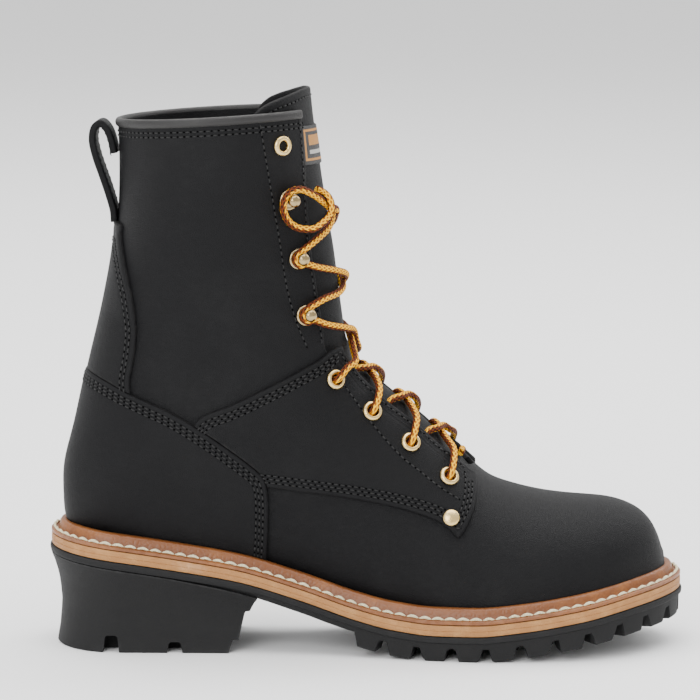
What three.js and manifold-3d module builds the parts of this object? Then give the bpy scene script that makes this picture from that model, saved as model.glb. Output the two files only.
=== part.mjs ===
// A right-foot logger boot, unworn, standing on its sole.
// Millimetres. +X runs from heel to toe, +Z is up, and the outer (lateral) side of the foot faces -Y.
// The hollow upper and every leather layer on it are cut from one boot form, offset in or out.
import * as THREE from 'three';
import { mergeVertices } from 'three/addons/utils/BufferGeometryUtils.js';
import Module from 'manifold-3d';

const wasm = await Module();
wasm.setup();

// Driving dimensions of the whole boot
const soleLength = 318;
const ballWidth = 114;
const heelWidth = 79;
const bootHeight = 268;
const instepHeight = 128;
const ankleWidth = 75;
const shaftWidth = 97;

// Heights and layers of the bottom
const heelLift = 37.7;
const toeSpring = 18.5;
const midsoleThickness = 5.6;
const stripThickness = 3.1;
const webThickness = 3.0;
const treadDepth = 9.6;
const weltReach = 7.6;
const bandInset = 0.9;
const stormRibHeight = 7.2;
const insoleThickness = 3.5;
const heelRound = 36;
const toeRound = 56;

// Leather and trim thicknesses
const wall = 2.2;
const shaftSeam = 0.41;
const heelSeam = 0.31;
const quarterThickness = 1.8;
const counterThickness = 2.4;
const backstayThickness = 1.8;
const tongueThickness = 2.6;
const bindingThickness = 1.4;
const bindingHeight = 4.5;
const collarDip = 4.5;
const collarPeak = 1;
const collarBack = 0.11;
const collarFront = 0.42;
const labelThickness = 0.6;
const labelInset = 1;

// Pull loop, laces and metal
const pullLoopWidth = 19;
const pullLoopThickness = 3.4;
const laceDiameter = 3.6;
const eyeletRadius = 5.1;
const eyeletHoleRadius = 2.3;
const eyeletHeight = 1.2;
const eyeletBarrelRadius = 2.9;
const hookBaseRadius = 5.0;
const hookStemRadius = 1.9;
const hookHeadRadius = 3.1;
const hookHeight = 7.8;
const hookFlange = 1.0;
const hookHeadHeight = 1.9;
const rivetRadius = 4.2;
const rivetHeight = 1.9;
const rivetShoulder = { radius: 0.8, height: 0.7 };
const hookHeadShoulder = 0.6;

// Lace heights over the form where it crosses the slot
const crossUnder = -0.3;
const crossRise = 2.2;
const laceLow = 0.0;
const laceBarLow = -0.3;
const laceDive = 0.72;
const laceBarReach = 0.3;
const laceBarRise = 2.55;
const laceSag = 0.9;
const slotMiddle = 0.02;
const nextPlace = 0.05;
const hookWrapDegrees = [-80, -130, 180, 130, 80];

// Tread pattern
const notchPitch = 17.2;
const notchWidth = 6.4;
const notchHeight = 6.4;
const notchReach = 15;
const notchRoof = 0.68;
const notchSink = 4;
const heelNotchReach = 12;
const lastNotchFromToe = 4;
const treadInset = 1.3;
const webInset = 1.5;
const channelDepth = 5.4;
const channelInset = 17;
const cleatInset = 21.5;
const cleatLength = 10.5;
const cleatRise = 1;
const treadCut = 5;
const treadPressed = 0.1;

// Clearance between pieces that touch, and how finely curved forms are divided
const gap = 0.3;
const tiny = 1e-4;
const ringPoints = 16;
const laceSides = 6;
const cordSides = 8;
const eyeletSides = 6;
const soleSteps = 16;
const heelSteps = 9;
const pullLoopSteps = 18;
const turnStep = 0.004;
const walkStep = 0.25;
const halfStep = 0.5;
const firstHalfStep = 7;
const lastHalfStep = 11;

// Sole line: height of the midsole's top, as shares of heelLift and toeSpring above the ball
const soleLineRows = [
  { at: 0.000, heel: 1.000, toe: 0.000 },
  { at: 0.075, heel: 0.930, toe: 0.000 },
  { at: 0.153, heel: 0.842, toe: 0.000 },
  { at: 0.232, heel: 0.740, toe: 0.000 },
  { at: 0.306, heel: 0.626, toe: 0.000 },
  { at: 0.399, heel: 0.395, toe: 0.000 },
  { at: 0.484, heel: 0.167, toe: 0.000 },
  { at: 0.547, heel: 0.050, toe: 0.000 },
  { at: 0.609, heel: 0.000, toe: 0.000 },
  { at: 0.674, heel: 0.000, toe: 0.010 },
  { at: 0.740, heel: 0.000, toe: 0.120 },
  { at: 0.834, heel: 0.000, toe: 0.370 },
  { at: 0.920, heel: 0.000, toe: 0.660 },
  { at: 1.000, heel: 0.000, toe: 0.880 },
];

// Half-widths of the sole edge: heel part as shares of heelWidth, forefoot part of ballWidth
const outlineRows = [
  { at: 0.00, heelLateral: 0.500, heelMedial: 0.480, ballLateral: 0.000, ballMedial: 0.000 },
  { at: 0.10, heelLateral: 0.502, heelMedial: 0.485, ballLateral: 0.000, ballMedial: 0.000 },
  { at: 0.22, heelLateral: 0.504, heelMedial: 0.460, ballLateral: 0.000, ballMedial: 0.000 },
  { at: 0.32, heelLateral: 0.400, heelMedial: 0.340, ballLateral: 0.074, ballMedial: 0.060 },
  { at: 0.42, heelLateral: 0.220, heelMedial: 0.160, ballLateral: 0.214, ballMedial: 0.160 },
  { at: 0.52, heelLateral: 0.060, heelMedial: 0.040, ballLateral: 0.384, ballMedial: 0.272 },
  { at: 0.62, heelLateral: 0.000, heelMedial: 0.000, ballLateral: 0.478, ballMedial: 0.380 },
  { at: 0.69, heelLateral: 0.000, heelMedial: 0.000, ballLateral: 0.500, ballMedial: 0.452 },
  { at: 0.76, heelLateral: 0.000, heelMedial: 0.000, ballLateral: 0.494, ballMedial: 0.492 },
  { at: 0.84, heelLateral: 0.000, heelMedial: 0.000, ballLateral: 0.464, ballMedial: 0.505 },
  { at: 0.92, heelLateral: 0.000, heelMedial: 0.000, ballLateral: 0.420, ballMedial: 0.480 },
  { at: 1.00, heelLateral: 0.000, heelMedial: 0.000, ballLateral: 0.380, ballMedial: 0.450 },
];

// Foot sections of the form. sole and top: where each section meets the sole and the ridge, as
// shares of soleLength. rise: ridge height as a share of instepHeight. lateral and medial:
// half-widths as shares of the sole edge less the welt. shift: ridge towards the big toe, as a
// share of ballWidth. widest: height of the widest point. under and over: roundness of the ends.
const footRows = [
  { sole: 0.9680, top: 0.9680, rise: 0.371, lateral: 1.00, medial: 1.00,
    shift: 0.00, widest: 0.45, under: 2.6, over: 2.1 },
  { sole: 0.9620, top: 0.9620, rise: 0.418, lateral: 1.00, medial: 1.00,
    shift: 0.00, widest: 0.44, under: 2.8, over: 2.1 },
  { sole: 0.9490, top: 0.9490, rise: 0.480, lateral: 1.01, medial: 1.01,
    shift: 0.00, widest: 0.42, under: 3.0, over: 2.1 },
  { sole: 0.9240, top: 0.9250, rise: 0.530, lateral: 1.02, medial: 1.02,
    shift: 0.01, widest: 0.40, under: 3.2, over: 2.15 },
  { sole: 0.8780, top: 0.8820, rise: 0.562, lateral: 1.02, medial: 1.02,
    shift: 0.02, widest: 0.38, under: 3.5, over: 2.2 },
  { sole: 0.8090, top: 0.8150, rise: 0.574, lateral: 1.02, medial: 1.02,
    shift: 0.03, widest: 0.36, under: 3.6, over: 2.2 },
  { sole: 0.7330, top: 0.7510, rise: 0.601, lateral: 1.02, medial: 1.01,
    shift: 0.04, widest: 0.34, under: 3.6, over: 2.2 },
  { sole: 0.6580, top: 0.6910, rise: 0.655, lateral: 1.01, medial: 1.00,
    shift: 0.05, widest: 0.35, under: 3.6, over: 2.2 },
  { sole: 0.5760, top: 0.6410, rise: 0.780, lateral: 1.00, medial: 1.00,
    shift: 0.05, widest: 0.42, under: 3.6, over: 2.2 },
  { sole: 0.4750, top: 0.5920, rise: 0.902, lateral: 1.00, medial: 1.02,
    shift: 0.04, widest: 0.50, under: 3.6, over: 2.2 },
  { sole: 0.3610, top: 0.5330, rise: 1.022, lateral: 1.03, medial: 1.05,
    shift: 0.03, widest: 0.56, under: 3.4, over: 2.15 },
  { sole: 0.2290, top: 0.4910, rise: 1.109, lateral: 1.08, medial: 1.09,
    shift: 0.02, widest: 0.60, under: 3.2, over: 2.1 },
  { sole: 0.1030, top: 0.4750, rise: 1.215, lateral: 1.12, medial: 1.13,
    shift: 0.01, widest: 0.62, under: 2.8, over: 2.1 },
];

// Shaft sections. back and front: shares of soleLength. backRise: share of the way from the
// heel seat to the collar. frontRise: share of the way from the instep to the collar. ankle and
// calf: half-width as shares of ankleWidth and shaftWidth.
const shaftRows = [
  { back: 0.0320, front: 0.4700, backRise: 0.040, frontRise: 0.279,
    ankle: 0.50, calf: 0.000, widest: 0.62, under: 2.6, over: 2.1 },
  { back: 0.0300, front: 0.4640, backRise: 0.140, frontRise: 0.379,
    ankle: 0.50, calf: 0.004, widest: 0.60, under: 2.5, over: 2.1 },
  { back: 0.0480, front: 0.4574, backRise: 0.258, frontRise: 0.500,
    ankle: 0.40, calf: 0.087, widest: 0.57, under: 2.35, over: 2.05 },
  { back: 0.0690, front: 0.4483, backRise: 0.400, frontRise: 0.621,
    ankle: 0.27, calf: 0.206, widest: 0.54, under: 2.2, over: 2.0 },
  { back: 0.0930, front: 0.4394, backRise: 0.550, frontRise: 0.750,
    ankle: 0.14, calf: 0.335, widest: 0.51, under: 2.1, over: 2.0 },
  { back: 0.1110, front: 0.4319, backRise: 0.712, frontRise: 0.871,
    ankle: 0.04, calf: 0.443, widest: 0.48, under: 2.0, over: 2.0 },
  { back: 0.1151, front: 0.4250, backRise: 0.880, frontRise: 0.979,
    ankle: 0.00, calf: 0.490, widest: 0.48, under: 2.0, over: 2.0 },
  { back: 0.1107, front: 0.4190, backRise: 1.060, frontRise: 1.121,
    ankle: 0.00, calf: 0.505, widest: 0.48, under: 2.0, over: 2.0 },
];

// Throat: half-width of the slot between the facings, by section number along the form.
// shaft is the slot in the main wall, quarter the slot between the overlapping quarters.
const throatRows = [
  { at: 6.80, shaft: 1.0, quarter: 8.0 },
  { at: 7.40, shaft: 1.0, quarter: 13.0 },
  { at: 7.60, shaft: 9.0, quarter: 15.0 },
  { at: 7.95, shaft: 17.5, quarter: 16.0 },
  { at: 8.50, shaft: 18.0, quarter: 16.5 },
  { at: 9.00, shaft: 17.5, quarter: 15.5 },
  { at: 9.90, shaft: 17.0, quarter: 14.8 },
  { at: 10.90, shaft: 17.0, quarter: 13.0 },
  { at: 11.70, shaft: 20.5, quarter: 15.5 },
  { at: 12.60, shaft: 23.5, quarter: 17.0 },
  { at: 20.00, shaft: 24.0, quarter: 20.0 },
];
const vampThroat = 7.4;
const tabThroat = 6.8;
const lastQuarterSection = 11.9;
const throatFloor = 0.62;
const throatMouth = 1.25;

// Side-view outlines of the leather layers: along is a share of soleLength from the heel, up is
// a share of bootHeight. Each runs round the patch in order.
const quarterOutline = [
  { along: 0.237, up: 0.430 }, { along: 0.295, up: 0.465 }, { along: 0.325, up: 0.482 },
  { along: 0.370, up: 0.508 }, { along: 0.407, up: 0.530 }, { along: 0.428, up: 0.543 },
  { along: 0.444, up: 0.557 }, { along: 0.458, up: 0.563 }, { along: 0.470, up: 0.560 },
  { along: 0.520, up: 0.560 }, { along: 0.640, up: 0.450 }, { along: 0.664, up: 0.375 },
  { along: 0.671, up: 0.330 }, { along: 0.672, up: 0.300 }, { along: 0.669, up: 0.272 },
  { along: 0.661, up: 0.250 }, { along: 0.650, up: 0.228 }, { along: 0.643, up: 0.222 },
  { along: 0.635, up: 0.232 }, { along: 0.618, up: 0.247 }, { along: 0.586, up: 0.262 },
  { along: 0.523, up: 0.280 }, { along: 0.434, up: 0.296 }, { along: 0.350, up: 0.310 },
];
const counterOutline = [
  { along: -0.10, up: 0.530 }, { along: 0.060, up: 0.518 }, { along: 0.098, up: 0.504 },
  { along: 0.131, up: 0.486 }, { along: 0.165, up: 0.469 }, { along: 0.198, up: 0.452 },
  { along: 0.232, up: 0.429 }, { along: 0.265, up: 0.403 }, { along: 0.298, up: 0.374 },
  { along: 0.325, up: 0.349 }, { along: 0.342, up: 0.329 }, { along: 0.349, up: 0.301 },
  { along: 0.350, up: 0.232 }, { along: 0.346, up: 0.140 }, { along: 0.346, up: -0.10 },
  { along: -0.10, up: -0.10 },
];
const backstayOutline = [
  { along: -0.05, up: 0.788 }, { along: 0.124, up: 0.788 }, { along: 0.123, up: 0.774 },
  { along: 0.129, up: 0.725 }, { along: 0.141, up: 0.668 }, { along: 0.146, up: 0.629 },
  { along: 0.148, up: 0.595 }, { along: 0.144, up: 0.550 }, { along: 0.137, up: 0.504 },
  { along: 0.136, up: 0.460 }, { along: -0.05, up: 0.460 },
];
const tongueOutline = [
  { along: 0.680, up: 0.250 }, { along: 0.600, up: 0.330 }, { along: 0.500, up: 0.410 },
  { along: 0.420, up: 0.480 }, { along: 0.385, up: 0.600 }, { along: 0.370, up: 0.750 },
  { along: 0.345, up: 0.900 }, { along: 0.330, up: 0.985 }, { along: 0.346, up: 1.008 },
  { along: 0.366, up: 1.020 }, { along: 0.385, up: 1.028 }, { along: 0.404, up: 1.036 },
  { along: 0.415, up: 1.040 }, { along: 0.560, up: 1.040 }, { along: 0.720, up: 0.600 },
];
const labelOutline = [
  { along: 0.404, up: 0.900 }, { along: 0.396, up: 0.972 }, { along: 0.440, up: 0.972 },
  { along: 0.460, up: 0.900 },
];

// Pull loop, seen from the side: its middle line from the shaft, over the top, to the backstay
const pullLoopRows = [
  { along: 0.1078, up: 0.918 }, { along: 0.1045, up: 0.940 }, { along: 0.0975, up: 0.962 },
  { along: 0.0880, up: 0.973 }, { along: 0.0785, up: 0.966 }, { along: 0.0745, up: 0.944 },
  { along: 0.0790, up: 0.915 }, { along: 0.0900, up: 0.876 }, { along: 0.1000, up: 0.840 },
  { along: 0.1063, up: 0.812 }, { along: 0.1078, up: 0.791 },
];

// Heel block: inset of its wall from the sole edge and place of its breast, by height
const heelRows = [
  { height: 0.00, inset: 3.4, breast: 0.288 },
  { height: 0.20, inset: 4.8, breast: 0.294 },
  { height: 0.21, inset: 4.8, breast: 0.304 },
  { height: 0.47, inset: 5.7, breast: 0.307 },
  { height: 0.70, inset: 4.6, breast: 0.314 },
  { height: 0.72, inset: 4.4, breast: 0.321 },
  { height: 0.93, inset: 2.4, breast: 0.329 },
  { height: 1.00, inset: 1.0, breast: 0.333 },
];

// Thickness of the rubber web over the arch, as shares of webThickness
const archRows = [
  { at: 0.00, web: 0.15 }, { at: 0.20, web: 0.30 }, { at: 0.34, web: 0.80 }, { at: 0.44, web: 1.00 },
  { at: 0.50, web: 0.85 }, { at: 0.60, web: 0.20 }, { at: 1.00, web: 0.20 },
];

// Notches in the heel's sides, and the share of the sole at which the forefoot tread starts
const heelNotches = [
  { at: 0.104, width: 8.0, height: 8.4 }, { at: 0.2035, width: 7.6, height: 5.4 },
];
const treadStart = 0.484;
const channelStart = 0.514;
const cleatStart = 0.534;
const firstCleat = 0.544;
const cleatEnd = 0.99;

// Welt profile, from the stitched edge in to the upper: inset from the sole edge as a share of
// weltReach, and height as a share of the storm rib
const weltRows = [
  { inset: 0.12, up: 0.00 }, { inset: 0.12, up: 0.27 },
  { inset: 0.60, up: 0.42 }, { inset: 0.66, up: 0.74 }, { inset: 0.84, up: 1.00 },
  { inset: 1.60, up: 1.00 },
];

// Throat hardware. place: section number along the form; behind: distance back from the facing
const eyeletRows = [
  { place: 8.05, behind: 14.5 },
  { place: 9.10, behind: 12.0 },
  { place: 10.05, behind: 11.0 },
  { place: 11.35, behind: 14.0 },
];
const hookRows = [
  { place: 13.95, behind: 10.0 },
  { place: 15.55, behind: 9.5 },
  { place: 17.10, behind: 13.5 },
];
const topEyelet = { place: 18.50, behind: 15.5 };

// How far up to the next row a strand passes over the near facing, the middle and the far facing.
// Shares of the sections between two eyelets, and of the height between two hooks.
const lateralCrossing = { near: 0.10, crest: 0.36, far: 0.60 };
const medialCrossing = { near: 0.10, crest: 0.38, far: 0.68 };
const lateralClimbs = [
  { near: 0.22, crest: 0.55, far: 0.82 },
  { near: 0.26, crest: 0.43, far: 0.76 },
  { near: 0.28, crest: 0.70, far: 0.91 },
];
const medialClimbs = [
  { near: 0.24, crest: 0.64, far: 0.84 },
  { near: 0.26, crest: 0.61, far: 0.84 },
  { near: 0.28, crest: 0.70, far: 0.91 },
];
const rivetSpot = { place: 7.78, behind: 33.5 };

const lateral = -1;
const medial = 1;
const colours = {
  leather: { color: 0x2b2a2c, roughness: 0.55, metalness: 0 },
  binding: { color: 0x3a3a3b, roughness: 0.6, metalness: 0 },
  rubber: { color: 0x2c2d2f, roughness: 0.8, metalness: 0 },
  tan: { color: 0xb88a66, roughness: 0.7, metalness: 0 },
  welt: { color: 0x8a5a3a, roughness: 0.7, metalness: 0 },
  insole: { color: 0x6b5b48, roughness: 0.9, metalness: 0 },
  brass: { color: 0xe6d6a8, roughness: 0.3, metalness: 0.9 },
  steel: { color: 0xc9c4b4, roughness: 0.25, metalness: 0.9 },
  lace: { color: 0xd8ad45, roughness: 0.9, metalness: 0 },
  label: { color: 0x1b1a1c, roughness: 0.9, metalness: 0 },
};

// Smooth value of one column of a table at a given place along it
function columnAt(rows, key, place, by = 'at') {
  const last = rows.length - 1;
  if (place <= rows[0][by]) return rows[0][key];
  if (place >= rows[last][by]) return rows[last][key];
  let i = 0;
  while (rows[i + 1][by] < place) i += 1;
  const slope = (a, b) => (rows[b][key] - rows[a][key]) / (rows[b][by] - rows[a][by]);
  const here = slope(i, i + 1);
  const soft = (before, after) => (before * after <= 0 ? 0 : (2 * before * after) / (before + after));
  const start = i === 0 ? here : soft(slope(i - 1, i), here);
  const end = i + 1 === last ? here : soft(here, slope(i + 1, i + 2));
  const span = rows[i + 1][by] - rows[i][by];
  const t = (place - rows[i][by]) / span;
  const rise = rows[i + 1][key] - rows[i][key];
  return rows[i][key] + span * start * t * (1 - t) ** 2
    + rise * t * t * (3 - 2 * t) - span * end * t * t * (1 - t);
}

const alongSole = (share) => (share - 0.5) * soleLength;
const shareOf = (x) => x / soleLength + 0.5;
const ballHeight = midsoleThickness + stripThickness + treadDepth - treadPressed;

// Height of the midsole's top at x
function soleLine(x) {
  const share = Math.min(Math.max(shareOf(x), 0), 1);
  return ballHeight + heelLift * columnAt(soleLineRows, 'heel', share)
    + toeSpring * columnAt(soleLineRows, 'toe', share);
}

// Half-width of the sole edge, drawn in by inset, on one side of the foot
function soleHalf(side, x, inset = 0) {
  const share = Math.min(Math.max(shareOf(x), 0), 1);
  const names = side === lateral ? ['heelLateral', 'ballLateral'] : ['heelMedial', 'ballMedial'];
  const straight = heelWidth * columnAt(outlineRows, names[0], share)
    + ballWidth * columnAt(outlineRows, names[1], share) - inset;
  const arc = (depth, radius) => {
    const t = Math.min(Math.max(depth / radius, 0), 1);
    return Math.sqrt(1 - (1 - t) ** 2);
  };
  const fromHeel = x + soleLength / 2 - inset;
  const fromToe = soleLength / 2 - inset - x;
  return straight * arc(fromHeel, heelRound - inset) * arc(fromToe, toeRound - inset);
}

// Closed geometry from points and triangles, turned so that its faces point outwards
function closedGeometry(points, triangles) {
  let volume = 0;
  for (const [a, b, c] of triangles) {
    volume += points[a].dot(new THREE.Vector3().crossVectors(points[b], points[c]));
  }
  const ordered = volume >= 0 ? triangles : triangles.map(([a, b, c]) => [a, c, b]);
  const geometry = new THREE.BufferGeometry().setFromPoints(points);
  geometry.setIndex(ordered.flat());
  return geometry;
}

function toSolid(geometry) {
  const bare = geometry.index ? geometry.clone() : geometry;
  bare.deleteAttribute('normal');
  bare.deleteAttribute('uv');
  const merged = mergeVertices(bare, tiny);
  return new wasm.Manifold(new wasm.Mesh({
    numProp: 3,
    vertProperties: new Float32Array(merged.attributes.position.array),
    triVerts: new Uint32Array(merged.index.array),
  }));
}

function toGeometry(solid) {
  const mesh = solid.getMesh();
  const geometry = new THREE.BufferGeometry();
  geometry.setAttribute('position', new THREE.BufferAttribute(mesh.vertProperties, 3));
  geometry.setIndex(new THREE.BufferAttribute(mesh.triVerts, 1));
  return geometry;
}

// Solid through closed rings of equal length; a ring of one point closes an end to a pole
function loft(rings) {
  const points = rings.flat();
  const starts = [];
  let count = 0;
  for (const ring of rings) {
    starts.push(count);
    count += ring.length;
  }
  const triangles = [];
  const around = Math.max(...rings.map((ring) => ring.length));
  for (let r = 0; r + 1 < rings.length; r += 1) {
    for (let k = 0; k < around; k += 1) {
      const next = (k + 1) % around;
      const a = starts[r];
      const b = starts[r + 1];
      if (rings[r].length === 1) triangles.push([a, b + next, b + k]);
      else if (rings[r + 1].length === 1) triangles.push([a + k, a + next, b]);
      else triangles.push([a + k, a + next, b + next], [a + k, b + next, b + k]);
    }
  }
  const cap = (ring, start, flip) => {
    if (ring.length === 1) return;
    for (let k = 0; k + 1 < ring.length / 2; k += 1) {
      const low = ring.length - 1 - k;
      const quad = [[k, k + 1, low], [k + 1, low - 1, low]];
      for (const [p, q, s] of quad) {
        if (q === s || p === q) continue;
        triangles.push(flip ? [start + p, start + s, start + q] : [start + p, start + q, start + s]);
      }
    }
  };
  cap(rings[0], starts[0], true);
  cap(rings[rings.length - 1], starts[rings.length - 1], false);
  return toSolid(closedGeometry(points, triangles));
}

// Prism of a side-view outline, from one y to another
function sidePrism(outline, fromY, toY) {
  const ring = (y) => outline.map((p) => new THREE.Vector3(p.x, y, p.z));
  const shape = outline.map((p) => new THREE.Vector2(p.x, p.z));
  const faces = THREE.ShapeUtils.triangulateShape(shape, []);
  const count = outline.length;
  const triangles = [];
  const clockwise = THREE.ShapeUtils.area(shape) < 0;
  for (const [a, b, c] of faces) {
    triangles.push([a, b, c], [a + count, c + count, b + count]);
  }
  for (let k = 0; k < count; k += 1) {
    const next = (k + 1) % count;
    const [p, q] = clockwise ? [next, k] : [k, next];
    triangles.push([p, p + count, q], [q, p + count, q + count]);
  }
  return toSolid(closedGeometry([...ring(fromY), ...ring(toY)], triangles));
}

const sideOutline = (rows) => rows.map((p) => ({ x: alongSole(p.along), z: p.up * bootHeight }));

// Boot form
const sinkBelowSole = 6;
const heelSeatHeight = ballHeight + heelLift;

function footSection(row) {
  const x = alongSole(row.sole);
  const widthAt = Math.max(x, heelRound - soleLength / 2);
  return {
    backX: x,
    backZ: soleLine(x) - sinkBelowSole,
    frontX: alongSole(row.top),
    frontZ: row.rise * instepHeight,
    lateral: row.lateral * soleHalf(lateral, widthAt, weltReach),
    medial: row.medial * soleHalf(medial, widthAt, weltReach),
    shift: row.shift * ballWidth,
    widest: row.widest,
    under: row.under,
    over: row.over,
  };
}

function shaftSection(row) {
  const half = row.ankle * ankleWidth + row.calf * shaftWidth;
  return {
    backX: alongSole(row.back),
    backZ: heelSeatHeight + row.backRise * (bootHeight - heelSeatHeight),
    frontX: alongSole(row.front),
    frontZ: instepHeight + row.frontRise * (bootHeight - instepHeight),
    lateral: half,
    medial: half,
    shift: 0,
    widest: row.widest,
    under: row.under,
    over: row.over,
  };
}

const sections = [...footRows.map(footSection), ...shaftRows.map(shaftSection)]
  .map((section, at) => ({ at, ...section }));
const toeTip = new THREE.Vector3(
  sections[0].backX + 0.5 * (soleLength / 2 - weltReach - sections[0].backX),
  0,
  0.5 * (sections[0].backZ + sections[0].frontZ),
);

function sectionAt(place) {
  const section = {};
  for (const key of Object.keys(sections[0])) section[key] = columnAt(sections, key, place);
  return section;
}

// Point of the form's surface: place is a section number, turn the angle round it from the front
function formPoint(place, turn) {
  const section = sectionAt(place);
  const front = Math.cos(turn) >= 0;
  const round = front ? section.over : section.under;
  const reach = Math.abs(Math.cos(turn)) ** (2 / round);
  const s = front ? section.widest + (1 - section.widest) * reach : section.widest * (1 - reach);
  const side = Math.sin(turn) >= 0 ? lateral : medial;
  const half = (side === lateral ? section.lateral : section.medial)
    * Math.abs(Math.sin(turn)) ** (2 / round);
  return new THREE.Vector3(
    section.backX + s * (section.frontX - section.backX),
    section.shift * s + side * half,
    section.backZ + s * (section.frontZ - section.backZ),
  );
}

function formNormal(place, turn) {
  const small = 0.02;
  const top = sections.length - 1;
  const alongForm = formPoint(Math.min(place + small, top), turn)
    .sub(formPoint(Math.max(place - small, 0), turn));
  const round = formPoint(place, turn + small).sub(formPoint(place, turn - small));
  return alongForm.cross(round).normalize();
}

// Rings of the form, closer together at the throat
const formPlaces = [];
for (let i = 0; i + 1 < sections.length; i += 1) {
  formPlaces.push(i);
  if (i >= firstHalfStep && i <= lastHalfStep) formPlaces.push(i + halfStep);
}
formPlaces.push(sections.length - 1);

// The closed boot form, grown (or shrunk) by an offset square to its surface
const formCache = new Map();
function bootForm(offset) {
  const key = offset.toFixed(3);
  if (!formCache.has(key)) {
    const rings = [[toeTip.clone().add(new THREE.Vector3(offset, 0, 0))]];
    for (const place of formPlaces) {
      const ring = [];
      for (let k = 0; k < ringPoints; k += 1) {
        const turn = (2 * Math.PI * k) / ringPoints;
        ring.push(formPoint(place, turn).addScaledVector(formNormal(place, turn), offset));
      }
      rings.push(ring);
    }
    formCache.set(key, loft(rings));
  }
  return formCache.get(key);
}

const shell = (inner, outer) => bootForm(outer).subtract(bootForm(inner));

// Sole plates: pairs of points across the foot, lifted to a height that follows x
const soleShares = Array.from({ length: soleSteps + 1 }, (_, j) => (
  0.5 * (1 - Math.cos((Math.PI * j) / soleSteps))));
const heelShares = Array.from({ length: heelSteps + 1 }, (_, j) => (
  1 - Math.cos((0.5 * Math.PI * j) / heelSteps)));

function plateRing(inset, height, from = 0, to = 1, shares = soleShares) {
  const lateralSide = [];
  const medialSide = [];
  const inner = soleLength - 2 * inset;
  for (const share of shares) {
    const x = inset - soleLength / 2 + inner * (from + share * (to - from));
    const left = -soleHalf(lateral, x, inset);
    const right = soleHalf(medial, x, inset);
    lateralSide.push(new THREE.Vector3(x, left, height(x)));
    medialSide.push(new THREE.Vector3(x, right, height(x)));
  }
  return { lateralSide, medialSide };
}

// Stack of plate rings joined into one solid
function layered(levels) {
  const points = [];
  const triangles = [];
  const count = levels[0].lateralSide.length;
  for (const level of levels) points.push(...level.lateralSide, ...level.medialSide);
  const at = (level, side, j) => level * 2 * count + (side === lateral ? 0 : count) + j;
  const quad = (a, b, c, d) => triangles.push([a, b, c], [a, c, d]);
  const last = levels.length - 1;
  for (let j = 0; j + 1 < count; j += 1) {
    quad(at(0, lateral, j), at(0, medial, j), at(0, medial, j + 1), at(0, lateral, j + 1));
    quad(at(last, lateral, j), at(last, lateral, j + 1), at(last, medial, j + 1), at(last, medial, j));
    for (let i = 0; i < last; i += 1) {
      quad(at(i, lateral, j), at(i, lateral, j + 1), at(i + 1, lateral, j + 1), at(i + 1, lateral, j));
      quad(at(i, medial, j), at(i + 1, medial, j), at(i + 1, medial, j + 1), at(i, medial, j + 1));
    }
  }
  for (let i = 0; i < last; i += 1) {
    quad(at(i, lateral, 0), at(i + 1, lateral, 0), at(i + 1, medial, 0), at(i, medial, 0));
    quad(at(i, lateral, count - 1), at(i, medial, count - 1),
      at(i + 1, medial, count - 1), at(i + 1, lateral, count - 1));
  }
  const kept = triangles.filter(([a, b, c]) => (
    new THREE.Triangle(points[a], points[b], points[c]).getArea() > tiny * tiny));
  return toSolid(closedGeometry(points, kept));
}

// Everything below the sole line raised by lift
function belowSole(lift) {
  const band = (z) => {
    const side = (y) => soleShares.map((share) => {
      const x = (share - 0.5) * soleLength;
      return new THREE.Vector3(x, y, z === null ? soleLine(x) + lift : z);
    });
    return { lateralSide: side(-soleLength), medialSide: side(soleLength) };
  };
  return layered([band(-soleLength), band(null)]);
}

const box = (x0, x1, y0, y1, z0, z1) => {
  const geometry = new THREE.BoxGeometry(x1 - x0, y1 - y0, z1 - z0);
  geometry.translate((x0 + x1) / 2, (y0 + y1) / 2, (z0 + z1) / 2);
  return toSolid(geometry);
};

// Collar plane, a little lower at the back than at the front
const collarLine = {
  backX: alongSole(collarBack),
  backZ: bootHeight - collarDip,
  frontX: alongSole(collarFront),
  frontZ: bootHeight + collarPeak,
};
function collarHeight(x) {
  const t = (x - collarLine.backX) / (collarLine.frontX - collarLine.backX);
  return collarLine.backZ + t * (collarLine.frontZ - collarLine.backZ);
}
const far = soleLength;

// Everything over, or under, the collar plane raised by lift
function besideCollar(lift, farZ) {
  return sidePrism([
    { x: -far, z: collarHeight(-far) + lift }, { x: far, z: collarHeight(far) + lift },
    { x: far, z: farZ }, { x: -far, z: farZ },
  ], -far, far);
}
const aboveCollar = (lift) => besideCollar(lift, 3 * far);
const belowCollar = (lift) => besideCollar(lift, -far);

// Slot cutter between the facings, for one column of the throat table, widened by extra
function throatCutter(column, extra = 0) {
  const rings = [];
  const first = column === 'shaft' ? vampThroat : tabThroat;
  const top = sections.length - 1;
  for (let place = first; place <= top + tiny; place += halfStep) {
    const at = Math.min(place, top);
    const section = sectionAt(at);
    const half = columnAt(throatRows, column, at) + extra;
    const ring = [];
    const corners = [
      [throatFloor, lateral], [throatMouth, lateral], [throatMouth, medial], [throatFloor, medial],
    ];
    for (const [s, side] of corners) {
      ring.push(new THREE.Vector3(
        section.backX + s * (section.frontX - section.backX),
        side * half,
        section.backZ + s * (section.frontZ - section.backZ),
      ));
    }
    rings.push(ring);
  }
  return loft(rings);
}

const facingHalf = (place) => (
  columnAt(throatRows, place < lastQuarterSection ? 'quarter' : 'shaft', place));

// Angle round the form at which the surface reaches the facing edge, then a distance behind it
function facingTurn(place, side, behind) {
  const half = facingHalf(place);
  const step = -side * turnStep;
  let turn = 0;
  while (side * formPoint(place, turn).y < half) turn += step;
  let walked = 0;
  let here = formPoint(place, turn);
  while (walked < behind) {
    turn += step;
    const next = formPoint(place, turn);
    walked += next.distanceTo(here);
    here = next;
  }
  return turn;
}

function surfacePoint(place, turn, offset) {
  return formPoint(place, turn).addScaledVector(formNormal(place, turn), offset);
}

const boot = new THREE.Group();

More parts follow.
